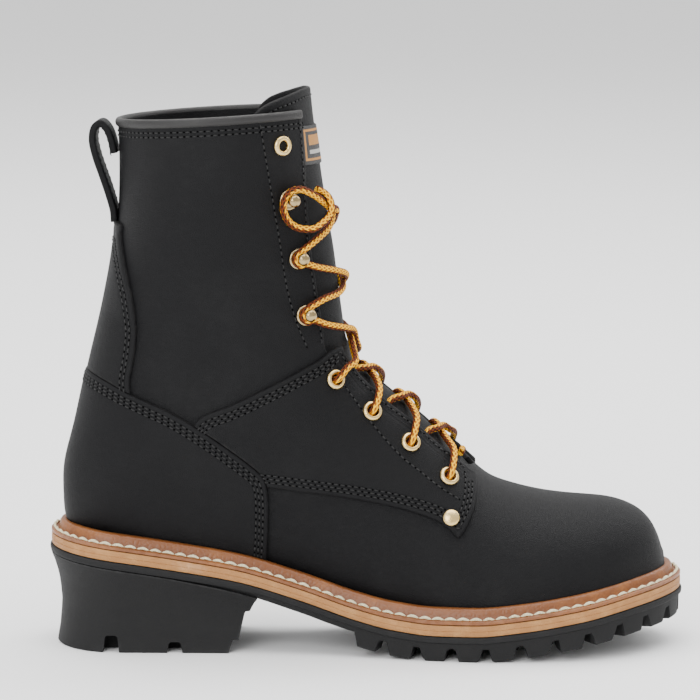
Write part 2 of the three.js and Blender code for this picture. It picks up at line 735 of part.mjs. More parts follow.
function addMesh(name, geometry, finish) {
  const material = new THREE.MeshStandardMaterial(colours[finish]);
  const mesh = new THREE.Mesh(geometry, material);
  mesh.name = name;
  boot.add(mesh);
  return mesh;
}
const addSolid = (name, solid, finish) => addMesh(name, toGeometry(solid), finish);

// Turned piece standing on the form behind the facing, its axis square to the surface
function addTurned(name, profile, spot, side, offset, finish, segments) {
  const points = profile.map(([r, z]) => new THREE.Vector2(r, z));
  const turn = hardwareTurn(spot, side);
  const mesh = addMesh(name, mergedLathe(points, segments), finish);
  mesh.position.copy(surfacePoint(spot.place, turn, offset));
  mesh.quaternion.setFromUnitVectors(new THREE.Vector3(0, 1, 0), formNormal(spot.place, turn));
}

function mergedLathe(points, segments) {
  const geometry = new THREE.LatheGeometry(points, segments);
  geometry.deleteAttribute('normal');
  geometry.deleteAttribute('uv');
  const merged = mergeVertices(geometry, tiny);
  const position = merged.attributes.position;
  const corners = Array.from({ length: position.count }, (_, i) => (
    new THREE.Vector3().fromBufferAttribute(position, i)));
  const triangles = [];
  for (let i = 0; i < merged.index.count; i += 3) {
    const [a, b, c] = [0, 1, 2].map((k) => merged.index.getX(i + k));
    if (a !== b && b !== c && a !== c) triangles.push([a, b, c]);
  }
  return closedGeometry(corners, triangles);
}

const hardwareTurn = (spot, side) => facingTurn(spot.place, side, spot.behind);

// Holes for the eyelet barrels on one side
function eyeletHoles(side) {
  return [...eyeletRows, topEyelet].map((spot) => {
    const turn = hardwareTurn(spot, side);
    const radius = eyeletBarrelRadius + gap;
    const depth = 4 * (wall + quarterThickness);
    const cylinder = new THREE.CylinderGeometry(radius, radius, depth, eyeletSides);
    cylinder.applyQuaternion(new THREE.Quaternion().setFromUnitVectors(
      new THREE.Vector3(0, 1, 0), formNormal(spot.place, turn)));
    cylinder.translate(...surfacePoint(spot.place, turn, 0).toArray());
    return toSolid(cylinder);
  }).reduce((all, hole) => all.add(hole));
}

// Part of the main wall. The shaft seam, a share of the boot's height, and the heel seam, a share
// of the sole's length, lie under the counter and the quarters.
function wallSolid(fromX, toX, fromZ, toZ) {
  return shell(-wall, 0)
    .intersect(box(fromX, toX, -far, far, fromZ, toZ))
    .subtract(belowSole(gap))
    .subtract(aboveCollar(-bindingHeight / 2))
    .subtract(throatCutter('shaft'))
    .subtract(eyeletHoles(lateral))
    .subtract(eyeletHoles(medial));
}

function midsoleSolid() {
  return layered([
    plateRing(bandInset, (x) => soleLine(x) - midsoleThickness),
    plateRing(bandInset, (x) => soleLine(x)),
  ]);
}

const outsoleTop = (x) => soleLine(x) - midsoleThickness - gap;
const stripBottom = (x) => outsoleTop(x) - stripThickness;
const webBottom = (x) => stripBottom(x) - webThickness * columnAt(archRows, 'web', shareOf(x));
const treadBottom = (x) => Math.max(0, outsoleTop(x) - stripThickness - treadDepth);

// Point on the sole edge at a distance along it from the first forefoot lug, round the toe
function edgeWalk(side, distance) {
  let x = alongSole(treadStart);
  let walked = 0;
  let here = new THREE.Vector2(x, soleHalf(side, x));
  while (walked < distance && x < soleLength / 2 - walkStep) {
    x += walkStep;
    const next = new THREE.Vector2(x, soleHalf(side, x));
    walked += next.distanceTo(here);
    here = next;
  }
  const ahead = new THREE.Vector2(Math.min(x + walkStep, soleLength / 2), 0);
  ahead.y = soleHalf(side, ahead.x);
  const behind = new THREE.Vector2(x - walkStep, soleHalf(side, x - walkStep));
  const tangent = ahead.sub(behind).normalize();
  return { x, y: side * here.y, angle: side * Math.atan2(tangent.y, tangent.x), ended: walked < distance };
}

// Trapezoid notch cut into the tread from the sole edge inwards, narrow at its roof
function notch({ x, y, angle }, { width, height, reach }, floor) {
  const half = width / 2;
  const roof = half * notchRoof;
  const section = [[-half, floor - notchSink], [half, floor - notchSink], [half, floor],
    [roof, floor + height], [-roof, floor + height], [-half, floor]];
  const ring = (depth) => section.map(([across, z]) => new THREE.Vector3(
    x + across * Math.cos(angle) - depth * Math.sin(angle),
    y + across * Math.sin(angle) + depth * Math.cos(angle),
    z,
  ));
  return loft([ring(-reach), ring(reach)]);
}

function treadSolid() {
  const block = layered([
    plateRing(treadInset, treadBottom, treadStart, 1),
    plateRing(treadInset, (x) => stripBottom(x) + stripThickness / 2, treadStart, 1),
  ]);
  const floorPlate = (inset, from, to, rise) => layered([
    plateRing(inset, (x) => treadBottom(x) - treadCut, from, to),
    plateRing(inset, (x) => treadBottom(x) + rise, from, to),
  ]);
  let tread = block.subtract(floorPlate(channelInset, channelStart, 1, channelDepth));
  for (const side of [lateral, medial]) {
    const firstNotch = 0.75 * notchPitch;
    for (let walk = firstNotch; ; walk += notchPitch) {
      const spot = edgeWalk(side, walk);
      if (spot.ended || spot.x > soleLength / 2 - lastNotchFromToe) break;
      const size = { width: notchWidth, height: notchHeight, reach: notchReach };
      tread = tread.subtract(notch(spot, size, treadBottom(spot.x)));
    }
  }
  const cleatTop = channelDepth + cleatRise;
  const cleats = block.intersect(floorPlate(cleatInset, cleatStart, cleatEnd, cleatTop));
  let bars = null;
  for (let x = alongSole(firstCleat); x < soleLength / 2 - cleatInset; x += notchPitch) {
    const bar = box(x, x + cleatLength, -ballWidth, ballWidth, -treadCut, bootHeight);
    bars = bars ? bars.add(bar) : bar;
  }
  return tread.add(cleats.intersect(bars));
}

function outsoleSolid() {
  const base = layered([
    plateRing(webInset, webBottom),
    plateRing(webInset, stripBottom),
    plateRing(0, stripBottom),
    plateRing(0, outsoleTop),
  ]);
  return base.add(treadSolid());
}

function heelSolid() {
  const top = (x) => webBottom(x) - gap;
  const levels = heelRows.map((row) => (
    plateRing(row.inset, (x) => row.height * top(x), 0, row.breast, heelShares)));
  let heel = layered(levels);
  for (const side of [lateral, medial]) {
    for (const spot of heelNotches) {
      const x = alongSole(spot.at);
      const y = side * soleHalf(side, x, heelRows[0].inset);
      heel = heel.subtract(notch({ x, y, angle: 0 }, { ...spot, reach: heelNotchReach }, 0));
    }
  }
  return heel;
}

const wide = ballWidth;

function counterSolid() {
  return shell(gap, gap + counterThickness)
    .intersect(sidePrism(sideOutline(counterOutline), -wide, wide))
    .subtract(belowSole(gap));
}

// Side-view outline grown outwards all round
function grownOutline(rows, grow) {
  const outline = sideOutline(rows);
  const shape = outline.map((p) => new THREE.Vector2(p.x, p.z));
  const turn = THREE.ShapeUtils.isClockWise(shape) ? -1 : 1;
  return shape.map((p, i) => {
    const before = shape[(i + shape.length - 1) % shape.length];
    const after = shape[(i + 1) % shape.length];
    const a = p.clone().sub(before).normalize();
    const b = after.clone().sub(p).normalize();
    const normal = new THREE.Vector2(a.y + b.y, -a.x - b.x).normalize();
    const stretch = Math.min(1 / Math.abs(normal.dot(new THREE.Vector2(a.y, -a.x))), 2);
    return { x: p.x + turn * grow * stretch * normal.x, z: p.y + turn * grow * stretch * normal.y };
  });
}

function quarterSolid(side) {
  return shell(gap, gap + quarterThickness)
    .intersect(sidePrism(sideOutline(quarterOutline), side * gap, side * wide))
    .subtract(sidePrism(grownOutline(counterOutline, gap), -wide, wide))
    .subtract(throatCutter('quarter'))
    .subtract(eyeletHoles(side));
}

function backstaySolid() {
  return shell(gap, gap + backstayThickness)
    .intersect(sidePrism(sideOutline(backstayOutline), -wide, wide))
    .subtract(sidePrism(grownOutline(counterOutline, gap), -wide, wide));
}

function bindingSolid() {
  return shell(-wall, bindingThickness)
    .subtract(belowCollar(gap - bindingHeight / 2))
    .subtract(aboveCollar(0))
    .subtract(throatCutter('shaft'));
}

function weltSolid() {
  const levels = weltRows.map((row) => (
    plateRing(row.inset * weltReach, (x) => soleLine(x) + gap + row.up * stormRibHeight)));
  const counterClear = bootForm(2 * gap + counterThickness)
    .intersect(sidePrism(grownOutline(counterOutline, gap), -wide, wide));
  return layered(levels)
    .subtract(bootForm(gap))
    .subtract(counterClear);
}

function insoleSolid() {
  return bootForm(-wall - gap)
    .intersect(belowSole(gap + insoleThickness))
    .subtract(belowSole(gap));
}

const tongueFace = -wall - gap;
function tongueSolid() {
  return shell(tongueFace - tongueThickness, tongueFace)
    .intersect(sidePrism(sideOutline(tongueOutline), -wide, wide));
}

function labelSolid() {
  return shell(tongueFace + gap, tongueFace + gap + labelThickness)
    .intersect(sidePrism(sideOutline(labelOutline), -wide, wide))
    .intersect(throatCutter('shaft', -labelInset));
}

function pullLoopSolid() {
  const middle = new THREE.CatmullRomCurve3(
    pullLoopRows.map((p) => new THREE.Vector3(alongSole(p.along), 0, p.up * bootHeight)));
  const outer = [];
  const inner = [];
  for (let i = 0; i <= pullLoopSteps; i += 1) {
    const p = middle.getPoint(i / pullLoopSteps);
    const t = middle.getTangent(i / pullLoopSteps);
    const normal = new THREE.Vector3(-t.z, 0, t.x);
    outer.push(p.clone().addScaledVector(normal, pullLoopThickness / 2));
    inner.push(p.clone().addScaledVector(normal, -pullLoopThickness / 2));
  }
  const outline = [...outer, ...inner.reverse()].map((p) => ({ x: p.x, z: p.z }));
  return sidePrism(outline, -pullLoopWidth / 2, pullLoopWidth / 2)
    .subtract(bootForm(gap))
    .subtract(bootForm(2 * gap + backstayThickness)
      .intersect(sidePrism(grownOutline(backstayOutline, gap), -wide, wide)))
    .subtract(bootForm(gap + bindingThickness).subtract(belowCollar(-bindingHeight / 2)));
}

function addBottom() {
  addSolid('outsole', outsoleSolid(), 'rubber');
  addSolid('heel', heelSolid(), 'rubber');
  addSolid('midsole', midsoleSolid(), 'tan');
  addSolid('welt', weltSolid(), 'welt');
  addSolid('insole', insoleSolid(), 'insole');
}

function addLeather() {
  const seamHeight = shaftSeam * bootHeight;
  const seamX = alongSole(heelSeam);
  addSolid('vamp', wallSolid(seamX + gap, far, 0, seamHeight), 'leather');
  addSolid('heel_wall', wallSolid(-far, seamX, 0, seamHeight), 'leather');
  addSolid('shaft', wallSolid(-far, far, seamHeight + gap, far), 'leather');
  addSolid('counter', counterSolid(), 'leather');
  addSolid('quarter_lateral', quarterSolid(lateral), 'leather');
  addSolid('quarter_medial', quarterSolid(medial), 'leather');
  addSolid('backstay', backstaySolid(), 'leather');
  addSolid('collar_binding', bindingSolid(), 'binding');
  addSolid('tongue', tongueSolid(), 'leather');
  addSolid('tongue_label', labelSolid(), 'label');
  addSolid('pull_loop', pullLoopSolid(), 'leather');
}

const quarterTop = gap + quarterThickness;

// Eyelets: a rolled ring on the leather's face, at height top, with a barrel through it
function addEyelet(name, spot, side, top) {
  const barrel = -top - wall;
  const crest = 0.5 * (eyeletRadius + eyeletHoleRadius);
  const profile = [
    [eyeletHoleRadius, barrel], [eyeletBarrelRadius, barrel], [eyeletBarrelRadius, gap],
    [eyeletRadius, gap], [crest, gap + eyeletHeight], [eyeletHoleRadius, 0.5 * eyeletHeight],
    [eyeletHoleRadius, barrel],
  ];
  addTurned(name, profile, spot, side, top, 'brass', eyeletSides);
}

// Stud hook: flange against the leather, stem for the lace and a domed head
function addHook(name, spot, side) {
  const profile = [
    [0, gap], [hookBaseRadius, gap], [hookBaseRadius - hookFlange, gap + hookFlange],
    [hookStemRadius, gap + hookFlange], [hookStemRadius, hookHeight - hookHeadHeight],
    [hookHeadRadius, hookHeight - hookHeadShoulder * hookHeadHeight], [0, hookHeight],
  ];
  addTurned(name, profile, spot, side, 0, 'steel', eyeletSides);
}

function addRivet(name, side) {
  const profile = [
    [0, gap], [rivetRadius, gap],
    [rivetShoulder.radius * rivetRadius, gap + rivetShoulder.height * rivetHeight],
    [0, gap + rivetHeight],
  ];
  addTurned(name, profile, rivetSpot, side, quarterTop, 'brass', eyeletSides);
}

function addMetal() {
  for (const [side, label] of [[lateral, 'lateral'], [medial, 'medial']]) {
    eyeletRows.forEach((spot, i) => addEyelet(`eyelet_${label}_${i + 1}`, spot, side, quarterTop));
    addEyelet(`eyelet_${label}_top`, topEyelet, side, 0);
    hookRows.forEach((spot, i) => addHook(`hook_${label}_${i + 1}`, spot, side));
    addRivet(`rivet_${label}`, side);
  }
}

// Smooth line that is divided evenly between its points, so tight bends get as many steps
class LaceLine extends THREE.CatmullRomCurve3 {
  getPointAt(t, target) {
    return this.getPoint(t, target);
  }

  getTangentAt(t, target) {
    return this.getTangent(t, target);
  }
}

// Round lace along a smooth line through the given points
function laceSolid(points, sides = laceSides) {
  const radius = laceDiameter / 2;
  const corners = Array.from({ length: sides }, (_, k) => {
    const a = (2 * Math.PI * k) / sides;
    return new THREE.Vector2(radius * Math.cos(a), radius * Math.sin(a));
  });
  const geometry = new THREE.ExtrudeGeometry(new THREE.Shape(corners), {
    steps: points.length - 1,
    bevelEnabled: false,
    extrudePath: new LaceLine(points, false, 'centripetal'),
  });
  return toSolid(geometry);
}

// Point over the slot at a section: across is the share of the slot's half-width towards one side
function slotPoint(place, side, across, offset) {
  const reach = facingHalf(place) * across;
  const step = -side * turnStep;
  let turn = 0;
  while (side * formPoint(place, turn).y < reach) turn += step;
  return surfacePoint(place, turn, offset);
}

// The same at a height: lift is how far the lace's middle is above the leather's outer face
function throatPoint(height, side, across, lift) {
  let low = tabThroat;
  let high = sections.length - 1;
  while (high - low > 0.01) {
    const middle = 0.5 * (low + high);
    if (slotPoint(middle, side, across, 0).z < height) low = middle;
    else high = middle;
  }
  const leather = low < lastQuarterSection ? quarterTop * across : 0;
  return slotPoint(low, side, across, leather + lift);
}

// Strand over the slot between two hooks on opposite sides, over both facings
function hookSpan(from, to, side, lift, climb) {
  const foot = formPoint(from.place, hardwareTurn(from, side)).z;
  const head = formPoint(to.place, hardwareTurn(to, side)).z;
  const at = (share, where, across, height) => (
    throatPoint(foot + share * (head - foot), where, across, height));
  const onLeather = 2 * gap + laceDiameter / 2;
  const halfway = 0.5 * (lift + onLeather) - laceSag;
  return [
    at(climb.near, side, 1, onLeather),
    at(0.5 * (climb.near + climb.crest), side, 0.5, halfway),
    at(climb.crest, side, slotMiddle, lift),
    at(0.5 * (climb.crest + climb.far), -side, 0.5, halfway),
    at(climb.far, -side, 1, onLeather),
  ];
}

// Strand over the slot between two eyelets on opposite sides, down to the far facing's edge
function eyeletSpan(from, to, side, lift) {
  const onLeather = 2 * gap + laceDiameter / 2;
  const { near, crest, far } = side === lateral ? lateralCrossing : medialCrossing;
  const at = (share, where, across, height) => (
    slotPoint(from.place + share * (to.place - from.place), where, across, height));
  return [
    at(near, side, 1, quarterTop + onLeather),
    at(0.5 * (near + crest), side, 0.5, 0.5 * (lift + quarterTop + onLeather) - laceSag),
    at(crest, side, slotMiddle, lift),
    at(0.5 * (crest + far), -side, 0.5 * laceDive, 0.5 * (lift + laceLow)),
    at(far, -side, laceDive, laceLow),
  ];
}

// Start of a strand that leaves an eyelet and crosses its own facing
function eyeletStart(from, side) {
  const overRing = quarterTop + gap + eyeletHeight + gap + laceDiameter / 2;
  const ahead = from.place + nextPlace;
  return [
    surfacePoint(from.place, hardwareTurn(from, side), overRing),
    surfacePoint(ahead, facingTurn(ahead, side, 0.5 * from.behind), overRing),
  ];
}

function laceCrossing(from, to) {
  const strand = (side, lift) => (
    laceSolid([...eyeletStart(from, side), ...eyeletSpan(from, to, side, lift)]));
  return strand(lateral, crossUnder).add(strand(medial, crossUnder + crossRise));
}

// Points round the back of a hook's stem, from below it to above it
function hookWrap(spot, side) {
  const turn = hardwareTurn(spot, side);
  const out = formNormal(spot.place, turn);
  const foot = formPoint(spot.place, turn);
  const towardFront = formPoint(spot.place, turn + side * turnStep).sub(foot).normalize();
  const up = formPoint(spot.place + nextPlace, turn).sub(foot);
  up.addScaledVector(towardFront, -up.dot(towardFront)).normalize();
  const radius = hookStemRadius + 2 * gap + laceDiameter / 2;
  const height = gap + hookFlange + gap + laceDiameter / 2;
  return hookWrapDegrees.map((degrees) => {
    const a = THREE.MathUtils.degToRad(degrees);
    return foot.clone().addScaledVector(out, height)
      .addScaledVector(towardFront, radius * Math.cos(a))
      .addScaledVector(up, radius * Math.sin(a));
  });
}

// Strand from the last eyelet through the hooks, changing side at each. It goes round the top
// hook, or ends at the crest before it.
function hookStrand(side, lifts, roundTop) {
  const last = eyeletRows[eyeletRows.length - 1];
  const climbs = { [lateral]: lateralClimbs, [medial]: medialClimbs };
  const points = [
    ...eyeletStart(last, side), ...hookSpan(last, hookRows[0], side, lifts[0], climbs[side][0]),
  ];
  let here = -side;
  hookRows.forEach((spot, i) => {
    const top = i + 1 === hookRows.length;
    if (!top || roundTop) points.push(...hookWrap(spot, here));
    if (!top) {
      points.push(...hookSpan(spot, hookRows[i + 1], here, lifts[i + 1], climbs[here][i + 1]));
    }
    here = -here;
  });
  return roundTop ? points : points.slice(0, -2);
}

function hookedLace() {
  const over = crossUnder + crossRise;
  const first = laceSolid(hookStrand(medial, [over, crossUnder, over], false));
  const second = laceSolid(hookStrand(lateral, [crossUnder, over, crossUnder], true));
  return first.add(second);
}

// Straight bar between the lowest eyelets, under the first crossing
function laceBar() {
  const [{ place, behind }] = eyeletRows;
  const foot = formPoint(place, facingTurn(place, lateral, behind)).z;
  const height = foot + laceBarRise * laceDiameter;
  return laceSolid([
    throatPoint(height, lateral, laceBarReach, laceBarLow),
    throatPoint(height, lateral, slotMiddle, laceBarLow),
    throatPoint(height, medial, laceBarReach, laceBarLow),
  ]);
}

// The end of the lace: from the last crossing over and round the upper lateral hook, back across
// itself, and tucked against the facing
const loopRoute = [
  { x: -14.8, y: -3.2, z: 217.7 }, { x: -15.2, y: -7.9, z: 218.8 }, { x: -17.2, y: -12.7, z: 219.3 },
  { x: -20.5, y: -19.6, z: 222.7 }, { x: -24.1, y: -25.8, z: 226.3 }, { x: -28.0, y: -30.2, z: 228.9 },
  { x: -31.6, y: -33.1, z: 230.3 }, { x: -35.7, y: -35.8, z: 229.6 }, { x: -38.7, y: -37.6, z: 226.5 },
  { x: -39.7, y: -37.7, z: 221.5 }, { x: -38.0, y: -35.7, z: 215.9 }, { x: -33.9, y: -32.8, z: 211.9 },
  { x: -28.8, y: -30.9, z: 210.6 }, { x: -24.6, y: -29.2, z: 210.9 }, { x: -21.0, y: -26.2, z: 213.2 },
  { x: -17.6, y: -21.3, z: 216.5 }, { x: -16.7, y: -20.5, z: 220.7 }, { x: -17.9, y: -19.7, z: 224.8 },
  { x: -20.4, y: -19.2, z: 227.5 }, { x: -23.9, y: -22.0, z: 229.5 },
];

function addLaces() {
  addSolid('lace_bar', laceBar(), 'lace');
  for (let i = 0; i + 1 < eyeletRows.length; i += 1) {
    addSolid(`lace_crossing_${i + 1}`, laceCrossing(eyeletRows[i], eyeletRows[i + 1]), 'lace');
  }
  addSolid('lace_hooked', hookedLace(), 'lace');
  const loop = loopRoute.map((p) => new THREE.Vector3(p.x, p.y, p.z));
  addSolid('lace_loop', laceSolid(loop, cordSides), 'lace');
}

addBottom();
addLeather();
addMetal();
addLaces();

export default boot;
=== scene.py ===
"""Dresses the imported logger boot: leather panels, stitching, laces, metal and the welted sole.

Sizes are millimetres in this file and become metres when a mesh is made. +X points to the toe, +Z up,
and the lateral side of the right foot faces -Y.
"""

import logging
import math
from dataclasses import dataclass, field
from enum import Enum
from typing import Callable, NamedTuple, Sequence

import bpy
import numpy as np
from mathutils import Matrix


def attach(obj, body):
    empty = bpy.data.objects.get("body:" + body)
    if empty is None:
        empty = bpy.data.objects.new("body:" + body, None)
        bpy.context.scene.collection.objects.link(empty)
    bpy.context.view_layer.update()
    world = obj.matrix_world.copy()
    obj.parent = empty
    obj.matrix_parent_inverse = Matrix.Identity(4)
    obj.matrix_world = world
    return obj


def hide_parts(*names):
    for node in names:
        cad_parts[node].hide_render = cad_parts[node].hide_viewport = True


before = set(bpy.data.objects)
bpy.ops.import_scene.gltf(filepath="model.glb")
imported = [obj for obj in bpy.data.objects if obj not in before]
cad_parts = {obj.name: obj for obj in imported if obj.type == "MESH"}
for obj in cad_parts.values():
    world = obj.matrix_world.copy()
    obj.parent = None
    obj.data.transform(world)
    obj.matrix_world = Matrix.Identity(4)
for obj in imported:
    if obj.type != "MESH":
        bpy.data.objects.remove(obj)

Array = np.ndarray
MM = 0.001
ROOT = "root"
log = logging.getLogger("boot")


class Side(Enum):
    """Side of the foot, with the sign of y on that side."""

    LATERAL = -1
    MEDIAL = 1


# Tables of the boot form


class SoleRow(NamedTuple):
    """Sole line at a share of the sole's length: shares of the heel's lift and of the toe spring."""

    at: float
    heel: float
    toe: float


SOLE_ROWS = (
    SoleRow(0.000, 1.000, 0.000), SoleRow(0.075, 0.930, 0.000), SoleRow(0.153, 0.842, 0.000),
    SoleRow(0.232, 0.740, 0.000), SoleRow(0.306, 0.626, 0.000), SoleRow(0.399, 0.395, 0.000),
    SoleRow(0.484, 0.167, 0.000), SoleRow(0.547, 0.050, 0.000), SoleRow(0.609, 0.000, 0.000),
    SoleRow(0.674, 0.000, 0.010), SoleRow(0.740, 0.000, 0.120), SoleRow(0.834, 0.000, 0.370),
    SoleRow(0.920, 0.000, 0.660), SoleRow(1.000, 0.000, 0.880),
)


class EdgeRow(NamedTuple):
    """Half-widths of the sole edge: shares of the heel's width and of the ball's width."""

    at: float
    heel_lateral: float
    heel_medial: float
    ball_lateral: float
    ball_medial: float


EDGE_ROWS = (
    EdgeRow(0.00, 0.500, 0.480, 0.000, 0.000), EdgeRow(0.10, 0.502, 0.485, 0.000, 0.000),
    EdgeRow(0.22, 0.504, 0.460, 0.000, 0.000), EdgeRow(0.32, 0.400, 0.340, 0.074, 0.060),
    EdgeRow(0.42, 0.220, 0.160, 0.214, 0.160), EdgeRow(0.52, 0.060, 0.040, 0.384, 0.272),
    EdgeRow(0.62, 0.000, 0.000, 0.478, 0.380), EdgeRow(0.69, 0.000, 0.000, 0.500, 0.452),
    EdgeRow(0.76, 0.000, 0.000, 0.494, 0.492), EdgeRow(0.84, 0.000, 0.000, 0.464, 0.505),
    EdgeRow(0.92, 0.000, 0.000, 0.420, 0.480), EdgeRow(1.00, 0.000, 0.000, 0.380, 0.450),
)


class FootRow(NamedTuple):
    """Section of the foot part. Places are shares of the sole's length, rise of the instep's height."""

    sole: float
    top: float
    rise: float
    lateral: float
    medial: float
    shift: float
    widest: float
    under: float
    over: float


FOOT_ROWS = (
    FootRow(0.9680, 0.9680, 0.371, 1.00, 1.00, 0.00, 0.45, 2.6, 2.10),
    FootRow(0.9620, 0.9620, 0.418, 1.00, 1.00, 0.00, 0.44, 2.8, 2.10),
    FootRow(0.9490, 0.9490, 0.480, 1.01, 1.01, 0.00, 0.42, 3.0, 2.10),
    FootRow(0.9240, 0.9250, 0.530, 1.02, 1.02, 0.01, 0.40, 3.2, 2.15),
    FootRow(0.8780, 0.8820, 0.562, 1.02, 1.02, 0.02, 0.38, 3.5, 2.20),
    FootRow(0.8090, 0.8150, 0.574, 1.02, 1.02, 0.03, 0.36, 3.6, 2.20),
    FootRow(0.7330, 0.7510, 0.601, 1.02, 1.01, 0.04, 0.34, 3.6, 2.20),
    FootRow(0.6580, 0.6910, 0.655, 1.01, 1.00, 0.05, 0.35, 3.6, 2.20),
    FootRow(0.5760, 0.6410, 0.780, 1.00, 1.00, 0.05, 0.42, 3.6, 2.20),
    FootRow(0.4750, 0.5920, 0.902, 1.00, 1.02, 0.04, 0.50, 3.6, 2.20),
    FootRow(0.3610, 0.5330, 1.022, 1.03, 1.05, 0.03, 0.56, 3.4, 2.15),
    FootRow(0.2290, 0.4910, 1.109, 1.08, 1.09, 0.02, 0.60, 3.2, 2.10),
    FootRow(0.1030, 0.4750, 1.215, 1.12, 1.13, 0.01, 0.62, 2.8, 2.10),
)


class ShaftRow(NamedTuple):
    """Section of the shaft. Rises are shares of the way from the heel seat or the instep to the collar."""

    back: float
    front: float
    back_rise: float
    front_rise: float
    ankle: float
    calf: float
    widest: float
    under: float
    over: float


SHAFT_ROWS = (
    ShaftRow(0.0320, 0.4700, 0.040, 0.279, 0.50, 0.000, 0.62, 2.60, 2.10),
    ShaftRow(0.0300, 0.4640, 0.140, 0.379, 0.50, 0.004, 0.60, 2.50, 2.10),
    ShaftRow(0.0480, 0.4574, 0.258, 0.500, 0.40, 0.087, 0.57, 2.35, 2.05),
    ShaftRow(0.0690, 0.4483, 0.400, 0.621, 0.27, 0.206, 0.54, 2.20, 2.00),
    ShaftRow(0.0930, 0.4394, 0.550, 0.750, 0.14, 0.335, 0.51, 2.10, 2.00),
    ShaftRow(0.1110, 0.4319, 0.712, 0.871, 0.04, 0.443, 0.48, 2.00, 2.00),
    ShaftRow(0.1151, 0.4250, 0.880, 0.979, 0.00, 0.490, 0.48, 2.00, 2.00),
    ShaftRow(0.1107, 0.4190, 1.060, 1.121, 0.00, 0.505, 0.48, 2.00, 2.00),
)


class ThroatRow(NamedTuple):
    """Half-width of the slot by section number: in the main wall, and between the quarters."""

    at: float
    shaft: float
    quarter: float


THROAT_ROWS = (
    ThroatRow(6.60, -30.0, 2.0), ThroatRow(7.00, -16.0, 9.0), ThroatRow(7.40, -1.0, 13.0),
    ThroatRow(7.60, 9.0, 15.0), ThroatRow(7.95, 17.5, 16.0), ThroatRow(8.50, 18.0, 16.5),
    ThroatRow(9.00, 17.5, 15.5), ThroatRow(9.90, 17.0, 14.8), ThroatRow(10.90, 17.0, 13.0),
    ThroatRow(11.70, 20.5, 15.5), ThroatRow(12.60, 23.5, 17.0), ThroatRow(20.00, 24.0, 20.0),
)


class Spot(NamedTuple):
    """Point of a side view: along from the heel and up, shares of the sole's length and boot's height."""

    along: float
    up: float


QUARTER_OUTLINE = (
    Spot(0.237, 0.430), Spot(0.295, 0.465), Spot(0.325, 0.482), Spot(0.370, 0.508), Spot(0.407, 0.530),
    Spot(0.428, 0.543), Spot(0.444, 0.557), Spot(0.458, 0.563), Spot(0.470, 0.560), Spot(0.520, 0.560),
    Spot(0.640, 0.450), Spot(0.664, 0.375), Spot(0.671, 0.330), Spot(0.672, 0.300), Spot(0.669, 0.272),
    Spot(0.661, 0.250), Spot(0.650, 0.228), Spot(0.643, 0.222), Spot(0.635, 0.232), Spot(0.618, 0.247),
    Spot(0.586, 0.262), Spot(0.523, 0.280), Spot(0.434, 0.296), Spot(0.350, 0.310), Spot(0.237, 0.330),
)
COUNTER_OUTLINE = (
    Spot(-0.10, 0.530), Spot(0.060, 0.518), Spot(0.098, 0.504), Spot(0.131, 0.486), Spot(0.165, 0.469),
    Spot(0.198, 0.452), Spot(0.232, 0.429), Spot(0.265, 0.403), Spot(0.298, 0.374), Spot(0.325, 0.349),
    Spot(0.342, 0.329), Spot(0.349, 0.301), Spot(0.350, 0.232), Spot(0.346, 0.140), Spot(0.346, -0.10),
    Spot(-0.10, -0.10),
)
BACKSTAY_OUTLINE = (
    Spot(-0.05, 0.788), Spot(0.124, 0.788), Spot(0.123, 0.774), Spot(0.129, 0.725), Spot(0.141, 0.668),
    Spot(0.146, 0.629), Spot(0.148, 0.595), Spot(0.144, 0.550), Spot(0.137, 0.504), Spot(0.136, 0.460),
    Spot(-0.05, 0.460),
)
TONGUE_OUTLINE = (
    Spot(0.680, 0.250), Spot(0.600, 0.330), Spot(0.500, 0.410), Spot(0.420, 0.480), Spot(0.385, 0.600),
    Spot(0.370, 0.750), Spot(0.345, 0.900), Spot(0.330, 0.985), Spot(0.346, 1.008), Spot(0.366, 1.020),
    Spot(0.385, 1.028), Spot(0.404, 1.036), Spot(0.415, 1.040), Spot(0.560, 1.040), Spot(0.720, 0.600),
)
LABEL_OUTLINE = (Spot(0.404, 0.900), Spot(0.396, 0.972), Spot(0.440, 0.972), Spot(0.460, 0.900))
FACING_SEAM = (
    Spot(0.3410, 0.9750), Spot(0.3535, 0.8790), Spot(0.3680, 0.7700), Spot(0.3800, 0.6760),
    Spot(0.3950, 0.6120), Spot(0.4080, 0.5740),
)
EYESTAY_SEAM = (
    Spot(0.4450, 0.5240), Spot(0.4760, 0.4730), Spot(0.5150, 0.4135), Spot(0.5580, 0.3600),
    Spot(0.5800, 0.3400), Spot(0.5990, 0.3220), Spot(0.6190, 0.3045), Spot(0.6400, 0.2885),
)
PULL_LOOP_LINE = (
    Spot(0.1078, 0.918), Spot(0.1045, 0.940), Spot(0.0975, 0.962), Spot(0.0880, 0.973), Spot(0.0785, 0.966),
    Spot(0.0745, 0.944), Spot(0.0790, 0.915), Spot(0.0900, 0.876), Spot(0.1000, 0.840),
    Spot(0.1063, 0.812), Spot(0.1078, 0.791),
)


class Fastening(NamedTuple):
    """Place of a piece of throat hardware: section number and distance behind the facing edge."""

    place: float
    behind: float


EYELETS = (Fastening(8.05, 14.5), Fastening(9.10, 12.0), Fastening(10.05, 11.0), Fastening(11.35, 14.0))
HOOKS = (Fastening(13.95, 10.0), Fastening(15.55, 9.5), Fastening(17.10, 13.5))
TOP_EYELET = Fastening(18.50, 15.5)
RIVET = Fastening(7.78, 33.5)


class Climb(NamedTuple):
    """Shares of the way to the next row at the near facing, the slot's middle and the far facing."""

    near: float
    crest: float
    far: float


